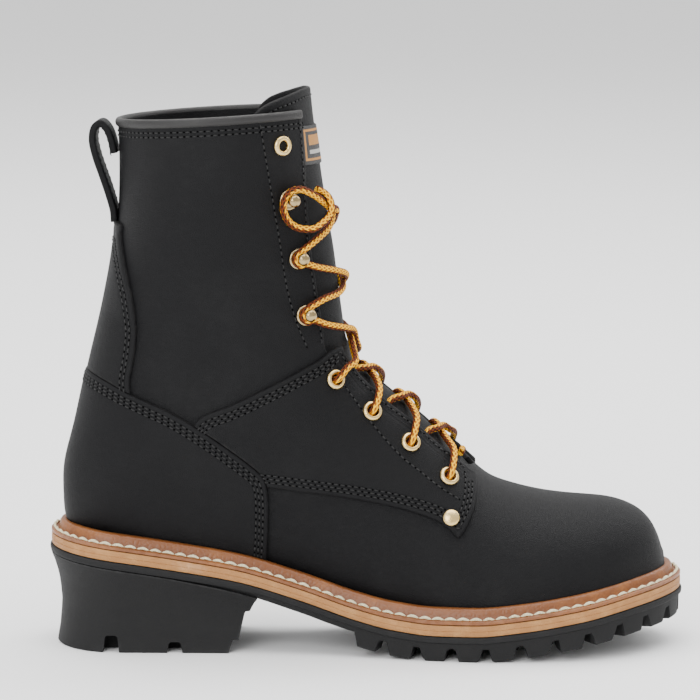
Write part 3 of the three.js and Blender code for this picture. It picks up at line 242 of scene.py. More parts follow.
EYELET_CLIMBS = {Side.LATERAL: Climb(0.10, 0.36, 0.60), Side.MEDIAL: Climb(0.10, 0.38, 0.68)}
HOOK_CLIMBS = {
    Side.LATERAL: (Climb(0.22, 0.55, 0.82), Climb(0.26, 0.43, 0.76), Climb(0.28, 0.70, 0.91)),
    Side.MEDIAL: (Climb(0.24, 0.64, 0.84), Climb(0.26, 0.61, 0.84), Climb(0.28, 0.70, 0.91)),
}


# Small mathematics


def unit(vectors: Array) -> Array:
    """Vectors scaled to length one along their last axis."""
    return vectors / np.maximum(np.linalg.norm(vectors, axis=-1, keepdims=True), 1e-9)


def hermite(xs: Array, ys: Array, at: Array) -> Array:
    """Monotone cubic through table values.

    Args:
        xs: Places of the table's rows, rising.
        ys: Values at those places.
        at: Places wanted.

    Returns:
        The smooth values, held at the table's ends.
    """
    at = np.clip(at, xs[0], xs[-1])
    i = np.clip(np.searchsorted(xs, at, side="right") - 1, 0, len(xs) - 2)
    slopes = np.diff(ys) / np.diff(xs)
    product = slopes[:-1] * slopes[1:]
    total = slopes[:-1] + slopes[1:]
    soft = np.where(product > 0, 2 * product / np.where(total == 0, 1, total), 0)
    tangents = np.concatenate([slopes[:1], soft, slopes[-1:]])
    span = (xs[i + 1] - xs[i])
    t = (at - xs[i]) / span
    return (ys[i] + span * tangents[i] * t * (1 - t) ** 2
            + (ys[i + 1] - ys[i]) * t * t * (3 - 2 * t)
            - span * tangents[i + 1] * t * t * (1 - t))


def column(rows: Sequence[NamedTuple], name: str, at: Array) -> Array:
    """Smooth value of one named column of a table at the places wanted.

    Args:
        rows: The table.
        name: The column.
        at: Places wanted.

    Returns:
        The smooth values.
    """
    xs = np.array([row.at for row in rows])
    ys = np.array([getattr(row, name) for row in rows])
    return hermite(xs, ys, np.asarray(at, float))


def spline(points: Array, per_span: int = 12, closed: bool = False) -> Array:
    """Centripetal Catmull-Rom curve through points.

    Args:
        points: Control points, one per row.
        per_span: Steps between two of them.
        closed: Whether the curve joins its own start.

    Returns:
        The curve's points.
    """
    p = np.asarray(points, float)
    if closed:
        p = np.concatenate([p[-1:], p, p[:2]])
    else:
        p = np.concatenate([2 * p[:1] - p[1:2], p, 2 * p[-1:] - p[-2:-1]])
    spans = np.maximum(np.linalg.norm(np.diff(p, axis=0), axis=1), 1e-6)
    knots = np.concatenate([[0], np.cumsum(spans ** 0.5)])
    out = []
    for i in range(1, len(p) - 2):
        t = np.linspace(knots[i], knots[i + 1], per_span, endpoint=False)[:, None]
        t0, t1, t2, t3 = knots[i - 1:i + 3]
        a1 = (t1 - t) / (t1 - t0) * p[i - 1] + (t - t0) / (t1 - t0) * p[i]
        a2 = (t2 - t) / (t2 - t1) * p[i] + (t - t1) / (t2 - t1) * p[i + 1]
        a3 = (t3 - t) / (t3 - t2) * p[i + 1] + (t - t2) / (t3 - t2) * p[i + 2]
        b1 = (t2 - t) / (t2 - t0) * a1 + (t - t0) / (t2 - t0) * a2
        b2 = (t3 - t) / (t3 - t1) * a2 + (t - t1) / (t3 - t1) * a3
        out.append((t2 - t) / (t2 - t1) * b1 + (t - t1) / (t2 - t1) * b2)
    if not closed:
        out.append(p[-2:-1])
    return np.concatenate(out)


def resample(points: Array, step: float, closed: bool = False) -> Array:
    """Points of a polyline respaced evenly, about step apart.

    Args:
        points: The polyline.
        step: Distance wanted between two points.
        closed: Whether the line joins its own start.

    Returns:
        The new points.
    """
    loop = np.concatenate([points, points[:1]]) if closed else points
    walked = np.concatenate([[0], np.cumsum(np.linalg.norm(np.diff(loop, axis=0), axis=1))])
    count = max(int(round(walked[-1] / step)), 2)
    at = np.linspace(0, walked[-1], count + (0 if closed else 1), endpoint=not closed)
    return np.stack([np.interp(at, walked, loop[:, k]) for k in range(loop.shape[1])], 1)


def length_of(points: Array) -> float:
    """Length of a polyline."""
    return float(np.linalg.norm(np.diff(points, axis=0), axis=1).sum())


def rounded(depth: Array, radius: float) -> Array:
    """Quarter-circle rise from 0 at an edge to 1 at a distance of radius from it."""
    t = np.clip(depth / radius, 0, 1)
    return np.sqrt(1 - (1 - t) ** 2)


def bump(distance: Array, width: float) -> Array:
    """Smooth hump, 1 at distance 0 and near 0 beyond width."""
    return np.exp(-(distance / width) ** 2)


def outline_distance(outline: Array, x: Array, z: Array) -> Array:
    """Signed distance to a closed outline in side view, positive inside.

    Args:
        outline: Points of the outline as x, z rows.
        x: Coordinates of the places wanted.
        z: Heights of the places wanted.

    Returns:
        Distance to the nearest edge for every place.
    """
    shape = x.shape
    px, pz = x.ravel(), z.ravel()
    best = np.full(px.shape, 1e9)
    inside = np.zeros(px.shape, bool)
    for a, b in zip(outline, np.roll(outline, -1, axis=0)):
        edge = b - a
        t = np.clip(((px - a[0]) * edge[0] + (pz - a[1]) * edge[1]) / max(edge @ edge, 1e-9), 0, 1)
        best = np.minimum(best, np.hypot(px - a[0] - t * edge[0], pz - a[1] - t * edge[1]))
        crosses = (a[1] > pz) != (b[1] > pz)
        if abs(edge[1]) > 1e-9:
            inside ^= crosses & (px < a[0] + (pz - a[1]) * edge[0] / edge[1])
    return np.where(inside, best, -best).reshape(shape)


# The boot form


@dataclass
class Grid:
    """Net of points on the form, rows along the boot and columns round it."""

    points: Array
    normals: Array
    behind: Array
    wrap: bool


@dataclass
class BootForm:
    """The closed form that the upper and its layers follow, from named sizes and short tables."""

    sole_length: float = 318.0
    ball_width: float = 114.0
    heel_width: float = 79.0
    boot_height: float = 268.0
    instep_height: float = 128.0
    ankle_width: float = 75.0
    shaft_width: float = 97.0
    heel_lift: float = 37.7
    toe_spring: float = 18.5
    ball_height: float = 18.2
    welt_reach: float = 7.6
    heel_round: float = 36.0
    toe_round: float = 56.0
    sink: float = 6.0
    collar_dip: float = 4.5
    collar_peak: float = 1.0
    collar_back: float = 0.11
    collar_front: float = 0.42
    smoothing: float = 0.45
    ring_points: int = 70
    creases: bool = True
    sections: dict[str, Array] = field(default_factory=dict)

    def __post_init__(self) -> None:
        """Works out the smoothed section table."""
        raw = [self.foot_section(row) for row in FOOT_ROWS] + [self.shaft_section(row) for row in SHAFT_ROWS]
        at = np.arange(len(raw), dtype=float)
        self.step = 0.05
        self.fine = np.arange(0, len(raw) - 1 + self.step / 2, self.step)
        reach = int(round(self.smoothing / self.step))
        kernel = np.hanning(2 * reach + 3)[1:-1]
        kernel /= kernel.sum()
        for name in raw[0]:
            values = hermite(at, np.array([section[name] for section in raw]), self.fine)
            before = 2 * values[0] - values[reach:0:-1]
            after = 2 * values[-1] - values[-2:-reach - 2:-1]
            self.sections[name] = np.convolve(np.concatenate([before, values, after]), kernel, "valid")
        self.top_place = float(len(raw) - 1)

    def along(self, share: float | Array) -> float | Array:
        """Length coordinate of a share of the sole."""
        return (share - 0.5) * self.sole_length

    def sole_line(self, x: Array) -> Array:
        """Height of the midsole's top at x.

        Args:
            x: Length coordinates.

        Returns:
            Heights in millimetres.
        """
        share = np.clip(np.asarray(x) / self.sole_length + 0.5, 0, 1)
        return (self.ball_height + self.heel_lift * column(SOLE_ROWS, "heel", share)
                + self.toe_spring * column(SOLE_ROWS, "toe", share))

    def sole_half(self, side: Side, x: Array, inset: float = 0.0) -> Array:
        """Half-width of the sole edge on one side, drawn in by inset.

        Args:
            side: Side of the foot.
            x: Length coordinates.
            inset: Distance by which the edge is drawn in.

        Returns:
            Half-widths in millimetres.
        """
        share = np.clip(np.asarray(x) / self.sole_length + 0.5, 0, 1)
        name = side.name.lower()
        straight = (self.heel_width * column(EDGE_ROWS, f"heel_{name}", share)
                    + self.ball_width * column(EDGE_ROWS, f"ball_{name}", share) - inset)
        heel = rounded(x + self.sole_length / 2 - inset, self.heel_round - inset)
        toe = rounded(self.sole_length / 2 - inset - x, self.toe_round - inset)
        return straight * heel * toe

    def foot_section(self, row: FootRow) -> dict[str, float]:
        """Section of the foot part in millimetres.

        Args:
            row: Row of the foot's table.

        Returns:
            The section's sizes by name.
        """
        x = float(self.along(row.sole))
        held = max(x, self.heel_round - self.sole_length / 2)
        return {
            "back_x": x, "back_z": float(self.sole_line(x)) - self.sink,
            "front_x": float(self.along(row.top)), "front_z": row.rise * self.instep_height,
            "lateral": row.lateral * float(self.sole_half(Side.LATERAL, held, self.welt_reach)),
            "medial": row.medial * float(self.sole_half(Side.MEDIAL, held, self.welt_reach)),
            "shift": row.shift * self.ball_width, "widest": row.widest, "under": row.under, "over": row.over,
        }

    def shaft_section(self, row: ShaftRow) -> dict[str, float]:
        """Section of the shaft in millimetres.

        Args:
            row: Row of the shaft's table.

        Returns:
            The section's sizes by name.
        """
        half = row.ankle * self.ankle_width + row.calf * self.shaft_width
        seat = self.ball_height + self.heel_lift
        return {
            "back_x": float(self.along(row.back)),
            "back_z": seat + row.back_rise * (self.boot_height - seat),
            "front_x": float(self.along(row.front)),
            "front_z": self.instep_height + row.front_rise * (self.boot_height - self.instep_height),
            "lateral": half, "medial": half, "shift": 0.0,
            "widest": row.widest, "under": row.under, "over": row.over,
        }

    def section(self, place: float) -> dict[str, float]:
        """Smoothed section at a section number."""
        return {name: float(np.interp(place, self.fine, values)) for name, values in self.sections.items()}

    def half_ring(self, place: float, side: Side) -> Array:
        """Points of one half of a section, from the front ridge to the back, closely spaced.

        Args:
            place: Section number, below 0 on the rounded toe.
            side: Side of the foot.

        Returns:
            The points, one per row.
        """
        s = self.section(max(place, 0.0))
        w = np.linspace(0, 1, self.ring_points)
        w = w * w * (3 - 2 * w)
        angle = 0.5 * np.pi * w * w * (3 - 2 * w)
        half = s[side.name.lower()]
        front_s = s["widest"] + (1 - s["widest"]) * np.cos(angle) ** (2 / s["over"])
        front_y = np.sin(angle) ** (2 / s["over"])
        back_s = s["widest"] * (1 - np.sin(angle[1:]) ** (2 / s["under"]))
        back_y = np.cos(angle[1:]) ** (2 / s["under"])
        share = np.concatenate([front_s, back_s])
        y = s["shift"] * share + side.value * half * np.concatenate([front_y, back_y])
        ring = np.stack([s["back_x"] + share * (s["front_x"] - s["back_x"]), y,
                         s["back_z"] + share * (s["front_z"] - s["back_z"])], 1)
        if place < 0:
            tip = np.array([s["back_x"] + 0.5 * (self.sole_length / 2 - self.welt_reach - s["back_x"]), 0.0,
                            0.5 * (s["back_z"] + s["front_z"])])
            swing = 0.5 * np.pi * min(-place, 1.0)
            centre = np.array([ring[0, 0], 0.0, tip[2]])
            ring = centre + (ring - centre) * math.cos(swing) + (tip - centre) * math.sin(swing)
        return ring

    def facing_half(self, place: float, name: str) -> float:
        """Half-width of the slot at a section number."""
        return float(column(THROAT_ROWS, name, place))

    def relief(self, points: Array) -> Array:
        """Height of the leather's swells and creases over the plain form.

        Args:
            points: Points of the plain form.

        Returns:
            The height at each.
        """
        x, y, z = points[..., 0], points[..., 1], points[..., 2]
        height = np.zeros(x.shape)
        for crease in CREASES:
            height += crease.height_at(x, y, z)
        return height

    def places(self, first: float, last: float, step: float) -> Array:
        """Section numbers whose rings lie about step apart.

        Args:
            first: Lowest section number.
            last: Highest section number.
            step: Distance between two rings.

        Returns:
            The section numbers.
        """
        fine = np.arange(first, last + 0.01, 0.05)
        rings = np.stack([self.half_ring(p, Side.LATERAL)[::12] for p in fine])
        moved = np.linalg.norm(np.diff(rings, axis=0), axis=2)
        walked = np.concatenate([[0], np.cumsum(0.5 * (moved.mean(1) + moved.max(1)))])
        count = max(int(round(walked[-1] / step)), 2)
        return np.interp(np.linspace(0, walked[-1], count + 1), walked, fine)

    def grid(self, first: float, last: float, step: float, turns: Array, wrap: bool = False,
             facing: str = "shaft") -> Grid:
        """Net of points on the form.

        Args:
            first: Lowest section number.
            last: Highest section number.
            step: Distance between rows.
            turns: Shares of the way round from the front ridge to the back, + on the lateral side.
            wrap: Whether the last column joins the first.
            facing: Slot column that the distance behind the facing is measured from.

        Returns:
            The net, with its normals and the distance behind the facing edge.
        """
        places = self.places(first, last, step)
        points = np.zeros((len(places), len(turns), 3))
        behind = np.zeros((len(places), len(turns)))
        for i, place in enumerate(places):
            slot = self.facing_half(place, facing)
            for side in Side:
                mask = (turns * -side.value > 0) | ((turns == 0) & (side is Side.LATERAL))
                if not mask.any():
                    continue
                ring = self.half_ring(place, side)
                walked = np.concatenate([[0], np.cumsum(np.linalg.norm(np.diff(ring, axis=0), axis=1))])
                at = np.abs(turns[mask]) * walked[-1]
                points[i, mask] = np.stack([np.interp(at, walked, ring[:, k]) for k in range(3)], 1)
                widest = int(np.argmax(side.value * ring[:, 1]))
                edge = np.interp(slot, side.value * ring[:widest + 1, 1], walked[:widest + 1])
                behind[i, mask] = at - (edge if slot > 0 else slot)
        normals = self.net_normals(points, wrap)
        if self.creases:
            points = points + normals * self.relief(points)[..., None]
            normals = self.net_normals(points, wrap)
        return Grid(points, normals, behind, wrap)

    @staticmethod
    def net_normals(points: Array, wrap: bool) -> Array:
        """Outward normals of a net of points.

        Args:
            points: Points in rows and columns.
            wrap: Whether the last column joins the first.

        Returns:
            A normal for each point.
        """
        if wrap:
            padded = np.concatenate([points[:, -1:], points, points[:, :1]], 1)
            round_form = padded[:, 2:] - padded[:, :-2]
        else:
            round_form = np.gradient(points, axis=1)
        normals = np.cross(np.gradient(points, axis=0), round_form)
        normals = unit(normals)
        centre = points.mean(1, keepdims=True)
        if np.sum(normals * (points - centre)) < 0:
            normals = -normals
        return normals

    def collar_height(self, x: Array) -> Array:
        """Height of the collar's rim at x.

        Args:
            x: Length coordinates.

        Returns:
            Heights in millimetres.
        """
        back_x, front_x = self.along(self.collar_back), self.along(self.collar_front)
        t = (x - back_x) / (front_x - back_x)
        low = self.boot_height - self.collar_dip
        return low + t * (self.boot_height + self.collar_peak - low)

    def outline(self, spots: Sequence[Spot], per_span: int = 6, closed: bool = True) -> Array:
        """Side-view outline in millimetres, smooth through its points."""
        points = np.array([[self.along(spot.along), spot.up * self.boot_height] for spot in spots])
        return spline(points, per_span, closed)


@dataclass(frozen=True)
class Crease:
    """A shallow fold or swell of the leather along a line on one side of the boot."""

    start: tuple[float, float, float]
    end: tuple[float, float, float]
    height: float
    width: float

    def height_at(self, x: Array, y: Array, z: Array) -> Array:
        """Height that the fold adds at points of the form.

        Args:
            x: Length coordinates.
            y: Width coordinates.
            z: Heights.

        Returns:
            The height at each point.
        """
        a = np.array(self.start)
        b = np.array(self.end)
        along = b - a
        walked = (x - a[0]) * along[0] + (y - a[1]) * along[1] + (z - a[2]) * along[2]
        t = np.clip(walked / (along @ along), 0, 1)
        distance = np.sqrt((x - a[0] - t * along[0]) ** 2 + (y - a[1] - t * along[1]) ** 2
                           + (z - a[2] - t * along[2]) ** 2)
        ends = np.sin(np.pi * np.clip(t, 0.02, 0.98)) ** 0.5
        return self.height * ends * bump(distance, self.width)


CREASES = (
    Crease((-52, -46, 240), (-26, -30, 236), -0.35, 2.5),
    Crease((-50, -46, 232), (-24, -30, 230), 0.30, 3.0),
    Crease((-60, -47, 214), (-36, -40, 222), -0.30, 3.5),
    Crease((-30, -38, 128), (-4, -28, 140), -0.35, 4.0),
    Crease((-128, -20, 168), (-104, -42, 158), -0.50, 6.0),
    Crease((-124, -24, 182), (-96, -46, 176), 0.45, 7.0),
    Crease((-70, -45, 150), (-40, -42, 165), -0.40, 8.0),
    Crease((-96, -47, 205), (-84, -50, 250), 0.60, 16.0),
    Crease((-60, -48, 180), (-70, -48, 240), -0.50, 14.0),
    Crease((20, -45, 62), (70, -48, 52), 0.50, 12.0),
    Crease((60, -20, 82), (66, 24, 80), -0.30, 6.0),
    Crease((84, -34, 66), (88, 30, 68), -0.25, 7.0),
    Crease((-128, 20, 168), (-104, 42, 158), -0.50, 6.0),
    Crease((-96, 47, 205), (-84, 50, 250), 0.60, 16.0),
    Crease((-60, 48, 180), (-70, 48, 240), -0.50, 14.0),
    Crease((20, 42, 62), (70, 44, 52), 0.50, 12.0),
)


# Patches cut from the form


def edges_of(triangles: Array) -> Array:
    """The three edges of every triangle, in its own turn."""
    return np.concatenate([triangles[:, [0, 1]], triangles[:, [1, 2]], triangles[:, [2, 0]]])


class Patch:
    """Triangles on the boot form that are cut along the level lines of named fields."""

    def __init__(self, grid: Grid, fields: dict[str, Array]) -> None:
        """Takes a net and the values of each field at its points.

        Args:
            grid: Net of points on the form.
            fields: Values of each field at those points.
        """
        rows, columns = grid.points.shape[:2]
        self.names = {name: 6 + k for k, name in enumerate(fields)}
        layers = [grid.points, grid.normals] + [values[..., None] for values in fields.values()]
        self.data = np.concatenate(layers, 2).reshape(rows * columns, -1)
        index = np.arange(rows * columns).reshape(rows, columns)
        if grid.wrap:
            index = np.concatenate([index, index[:, :1]], 1)
        a, b, c, d = index[:-1, :-1], index[:-1, 1:], index[1:, 1:], index[1:, :-1]
        low, high = self.data[a.ravel(), :3], self.data[c.ravel(), :3]
        one = np.linalg.norm(low - high, axis=1)
        two = np.linalg.norm(self.data[b.ravel(), :3] - self.data[d.ravel(), :3], axis=1)
        short = (one <= two)[:, None]
        first = np.where(short, np.stack([a.ravel(), b.ravel(), c.ravel()], 1),
                         np.stack([a.ravel(), b.ravel(), d.ravel()], 1))
        second = np.where(short, np.stack([a.ravel(), c.ravel(), d.ravel()], 1),
                          np.stack([b.ravel(), c.ravel(), d.ravel()], 1))
        self.triangles = np.concatenate([first, second])

    def values(self, name: str) -> Array:
        """Values of a field at the patch's points."""
        return self.data[:, self.names[name]]

    def split(self, name: str, level: float) -> None:
        """Cuts every triangle that a level line of a field crosses along that line.

        Args:
            name: The field.
            level: Value along which the triangles are cut.
        """
        f = self.values(name) - level
        snapped = np.where(np.abs(f) < 0.02, 0.0, f)
        self.data[:, self.names[name]] = snapped + level
        sign = np.sign(snapped)
        corner = sign[self.triangles]
        crossed = (corner.min(1) < 0) & (corner.max(1) > 0)
        kept = [self.triangles[~crossed]]
        added: list[Array] = []
        made: dict[tuple[int, int], int] = {}
        base = len(self.data)

        def cut(p: int, q: int) -> int:
            """Point where the edge from p to q crosses the level.

            Args:
                p: Row of one end.
                q: Row of the other end.

            Returns:
                Row of the new point.
            """
            key = (p, q) if p < q else (q, p)
            if key not in made:
                t = snapped[key[0]] / (snapped[key[0]] - snapped[key[1]])
                row = self.data[key[0]] * (1 - t) + self.data[key[1]] * t
                row[self.names[name]] = level
                added.append(row)
                made[key] = base + len(added) - 1
            return made[key]

        pieces: list[tuple[int, int, int]] = []
        for triangle in self.triangles[crossed]:
            s = sign[triangle]
            if (s == 0).any():
                k = int(np.argmax(s == 0))
                o, p, q = (int(v) for v in np.roll(triangle, -k))
                m = cut(p, q)
                pieces += [(o, p, m), (o, m, q)]
                continue
            lone = 1 if (s > 0).sum() == 1 else -1
            k = int(np.argmax(s == lone))
            o, p, q = (int(v) for v in np.roll(triangle, -k))
            m, n = cut(o, p), cut(o, q)
            pieces += [(o, m, n), (m, p, q), (m, q, n)]
        if pieces:
            kept.append(np.array(pieces))
            self.data = np.concatenate([self.data, np.array(added)])
        self.triangles = np.concatenate(kept)

    def refine(self, name: str, levels: Sequence[float]) -> None:
        """Cuts the triangles along several levels of a field."""
        for level in levels:
            self.split(name, level)

    def clip(self, name: str, level: float = 0.0) -> None:
        """Keeps only what lies above a level of a field.

        Args:
            name: The field.
            level: Lowest value that is kept.
        """
        self.split(name, level)
        f = self.values(name)[self.triangles] - level
        self.triangles = self.triangles[(f.min(1) >= -1e-6) & (f.max(1) > 1e-6)]

    def lines(self, name: str, level: float) -> list[Array]:
        """Level lines of a field as chains of rows of the patch's data.

        Args:
            name: The field.
            level: Value along the lines.

        Returns:
            The chains, each an array of rows.
        """
        self.split(name, level)
        on = np.abs(self.values(name) - level) < 1e-6
        edges = edges_of(self.triangles)
        edges = np.unique(np.sort(edges[on[edges].all(1)], axis=1), axis=0)
        near: dict[int, list[int]] = {}
        for p, q in edges:
            near.setdefault(int(p), []).append(int(q))
            near.setdefault(int(q), []).append(int(p))
        chains = []
        starts = [p for p, others in near.items() if len(others) == 1] + list(near)
        used: set[int] = set()
        for start in starts:
            if start in used:
                continue
            chain, here = [start], start
            used.add(start)
            while True:
                ahead = [p for p in near[here] if p not in used]
                if not ahead:
                    break
                here = ahead[0]
                used.add(here)
                chain.append(here)
            if len(near[start]) == 2 and start in near[here] and len(chain) > 3:
                chain.append(start)
            if len(chain) > 4:
                chains.append(self.data[chain])
        return chains

    def solid(self, top: Array, bottom: Array) -> tuple[Array, Array]:
        """Closed mesh between two heights over the form.

        Args:
            top: Height of the outer face at each point.
            bottom: Height of the inner face at each point.

        Returns:
            Points and triangles.
        """
        used = np.unique(self.triangles)
        index = np.zeros(len(self.data), int)
        index[used] = np.arange(len(used))
        rows = self.data[used]
        triangles = index[self.triangles]
        normals = unit(rows[:, 3:6])
        outer = rows[:, :3] + normals * np.broadcast_to(top, len(self.data))[used][:, None]
        inner = rows[:, :3] + normals * np.broadcast_to(bottom, len(self.data))[used][:, None]
        edges = edges_of(triangles)
        key = np.sort(edges, axis=1)
        _, first, count = np.unique(key, axis=0, return_index=True, return_counts=True)
        rim = edges[first[count == 1]]
        n = len(used)
        walls = np.concatenate([np.stack([rim[:, 1], rim[:, 0], rim[:, 0] + n], 1),
                                np.stack([rim[:, 1], rim[:, 0] + n, rim[:, 1] + n], 1)])
        return np.concatenate([outer, inner]), np.concatenate([triangles, triangles[:, ::-1] + n, walls])


# Meshes and materials


def make_object(name: str, points: Array, faces: Array | list, material: bpy.types.Material,
                sharp: float = 42.0) -> bpy.types.Object:
    """New mesh object from millimetre points, its faces turned outwards.

    Args:
        name: Name of the piece.
        points: Points in millimetres.
        faces: Triangles or quads, as rows of indices.
        material: Its material.
        sharp: Angle in degrees past which an edge is drawn sharp.

    Returns:
        The object, at the origin.
    """
    mesh = bpy.data.meshes.new(name)
    mesh.from_pydata([tuple(p) for p in np.asarray(points, float) * MM], [],
                     [tuple(int(i) for i in f) for f in faces])
    mesh.validate()
    mesh.shade_smooth()
    mesh.set_sharp_from_angle(angle=math.radians(sharp))
    mesh.materials.append(material)
    obj = bpy.data.objects.new(name, mesh)
    bpy.context.scene.collection.objects.link(obj)
    turn_outwards(obj)
    return obj


def signed_volume(mesh: bpy.types.Mesh) -> float:
    """Volume that a closed mesh holds, negative where its faces point inwards.

    Args:
        mesh: The mesh.

    Returns:
        Volume in cubic metres.
    """
    mesh.calc_loop_triangles()
    corners = np.zeros(len(mesh.loop_triangles) * 3, int)
    mesh.loop_triangles.foreach_get("vertices", corners)
    points = np.zeros(len(mesh.vertices) * 3)
    mesh.vertices.foreach_get("co", points)
    a, b, c = points.reshape(-1, 3)[corners.reshape(-1, 3)].transpose(1, 0, 2)
    return float(np.einsum("ij,ij->i", a, np.cross(b, c)).sum() / 6)


def turn_outwards(obj: bpy.types.Object) -> None:
    """Flips a closed mesh whose faces point inwards."""
    if signed_volume(obj.data) < 0:
        obj.data.flip_normals()


def finish_piece(obj: bpy.types.Object, slot: str, *nodes: str) -> bpy.types.Object:
    """Lets a piece ride on the boot and stand for its nodes.

    Args:
        obj: The piece.
        slot: Name of its material slot; not used.
        nodes: Nodes that it stands for.

    Returns:
        The same object.
    """
    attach(obj, ROOT)
    if nodes:
        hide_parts(*nodes)
    log.info("%s: %d triangles", obj.name, sum(len(p.vertices) - 2 for p in obj.data.polygons))
    return obj


class Nodes:
    """Short helper for building shader and group trees."""

    def __init__(self, tree: bpy.types.NodeTree) -> None:
        """Takes the tree that nodes are added to."""
        self.tree = tree

    def add(self, kind: str, inputs: dict | None = None, **settings: object) -> bpy.types.Node:
        """New node with settings, its inputs linked or set.

        Args:
            kind: Node type.
            inputs: Input name or number to a socket or a value.
            **settings: Properties of the node.

        Returns:
            The node.
        """
        node = self.tree.nodes.new(kind)
        for name, value in settings.items():
            setattr(node, name, value)
        for name, value in (inputs or {}).items():
            if isinstance(value, bpy.types.NodeSocket):
                self.tree.links.new(value, node.inputs[name])
            else:
                node.inputs[name].default_value = value
        return node

    def math(self, operation: str, *values: object, clamp: bool = False) -> bpy.types.NodeSocket:
        """Result of a Math node."""
        node = self.add("ShaderNodeMath", dict(enumerate(values)), operation=operation, use_clamp=clamp)
        return node.outputs[0]

    def mix(self, factor: object, a: object, b: object) -> bpy.types.NodeSocket:
        """Mixed colour.

        Args:
            factor: Share of the second colour.
            a: First colour.
            b: Second colour.

        Returns:
            The mixed colour's socket.
        """
        node = self.add("ShaderNodeMix", data_type="RGBA")
        for index, value in ((0, factor), (6, a), (7, b)):
            if isinstance(value, bpy.types.NodeSocket):
                self.tree.links.new(value, node.inputs[index])
            else:
                node.inputs[index].default_value = value
        return node.outputs[2]

    def span(self, value: object, low: float, high: float, to_low: float = 0.0,
             to_high: float = 1.0) -> bpy.types.NodeSocket:
        """Value mapped smoothly from one range to another.

        Args:
            value: Value to map.
            low: Start of its range.
            high: End of its range.
            to_low: Result at the start.
            to_high: Result at the end.

        Returns:
            The mapped value's socket.
        """
        node = self.add("ShaderNodeMapRange", {"Value": value, "From Min": low, "From Max": high,
                                               "To Min": to_low, "To Max": to_high},
                        interpolation_type="SMOOTHSTEP")
        return node.outputs[0]

    def link(self, source: bpy.types.NodeSocket, node: bpy.types.Node, name: str | int) -> None:
        """Joins a socket to a node's input."""
        self.tree.links.new(source, node.inputs[name])


def linear(red: int, green: int, blue: int) -> tuple[float, float, float, float]:
    """Scene-linear colour of display values from 0 to 255.

    Args:
        red: Red, from 0 to 255.
        green: Green, from 0 to 255.
        blue: Blue, from 0 to 255.

    Returns:
        The colour with alpha 1.
    """
    def one(value: int) -> float:
        """Linear value of one channel."""
        v = value / 255
        return v / 12.92 if v <= 0.04045 else ((v + 0.055) / 1.055) ** 2.4
    return (one(red), one(green), one(blue), 1.0)


def new_group(name: str, inputs: dict[str, tuple[str, object]],
              outputs: dict[str, str]) -> bpy.types.NodeTree:
    """Empty shader node group with named sockets.

    Args:
        name: Name of the group.
        inputs: Input name to socket type and default.
        outputs: Output name to socket type.

    Returns:
        The group's tree.
    """
    tree = bpy.data.node_groups.new(name, "ShaderNodeTree")
    for key, (kind, value) in inputs.items():
        socket = tree.interface.new_socket(key, in_out="INPUT", socket_type=kind)
        socket.default_value = value
    for key, kind in outputs.items():
        tree.interface.new_socket(key, in_out="OUTPUT", socket_type=kind)
    return tree


FLOAT, COLOUR, VECTOR = "NodeSocketFloat", "NodeSocketColor", "NodeSocketVector"


def mottle_group() -> bpy.types.NodeTree:
    """Soft clouds of a lighter tone and finer specks, in the piece's own coordinates.

    Returns:
        The group.
    """
    tree = new_group("Mottle", {"Scale": (FLOAT, 22.0), "Base": (COLOUR, (0.03, 0.03, 0.03, 1)),
                                "Light": (COLOUR, (0.06, 0.06, 0.06, 1)), "Amount": (FLOAT, 0.6)},
                     {"Color": COLOUR, "Mask": FLOAT})
    n = Nodes(tree)
    entry = n.add("NodeGroupInput")
    coords = n.add("ShaderNodeTexCoord").outputs["Object"]
    wide = n.add("ShaderNodeTexNoise", {"Vector": coords, "Scale": entry.outputs["Scale"], "Detail": 3.0,
                                        "Roughness": 0.55})
    finer = n.math("MULTIPLY", entry.outputs["Scale"], 9.0)
    fine = n.add("ShaderNodeTexNoise", {"Vector": coords, "Scale": finer, "Detail": 4.0, "Roughness": 0.7})
    clouds = n.span(wide.outputs["Fac"], 0.42, 0.72)
    specks = n.span(fine.outputs["Fac"], 0.35, 0.75, 0.35, 1.0)
    mask = n.math("MULTIPLY", n.math("MULTIPLY", clouds, specks), entry.outputs["Amount"], clamp=True)
    leave = n.add("NodeGroupOutput")
    n.link(n.mix(mask, entry.outputs["Base"], entry.outputs["Light"]), leave, "Color")
    n.link(mask, leave, "Mask")
    return tree


def grain_group() -> bpy.types.NodeTree:
    """Leather's pebbled grain: small cells with creased borders over a softer swell.

    Returns:
        The group.
    """
    tree = new_group("Grain", {"Scale": (FLOAT, 900.0)}, {"Height": FLOAT})
    n = Nodes(tree)
    entry = n.add("NodeGroupInput")
    coords = n.add("ShaderNodeTexCoord").outputs["Object"]
    cells = n.add("ShaderNodeTexVoronoi", {"Vector": coords, "Scale": entry.outputs["Scale"]},
                  feature="DISTANCE_TO_EDGE")
    pebble = n.span(cells.outputs["Distance"], 0.0, 0.35)
    swell = n.add("ShaderNodeTexNoise", {"Vector": coords, "Detail": 4.0,
                                         "Scale": n.math("MULTIPLY", entry.outputs["Scale"], 0.22)})
    height = n.math("MULTIPLY_ADD", swell.outputs["Fac"], 1.4, pebble)
    leave = n.add("NodeGroupOutput")
    n.link(height, leave, "Height")
    return tree


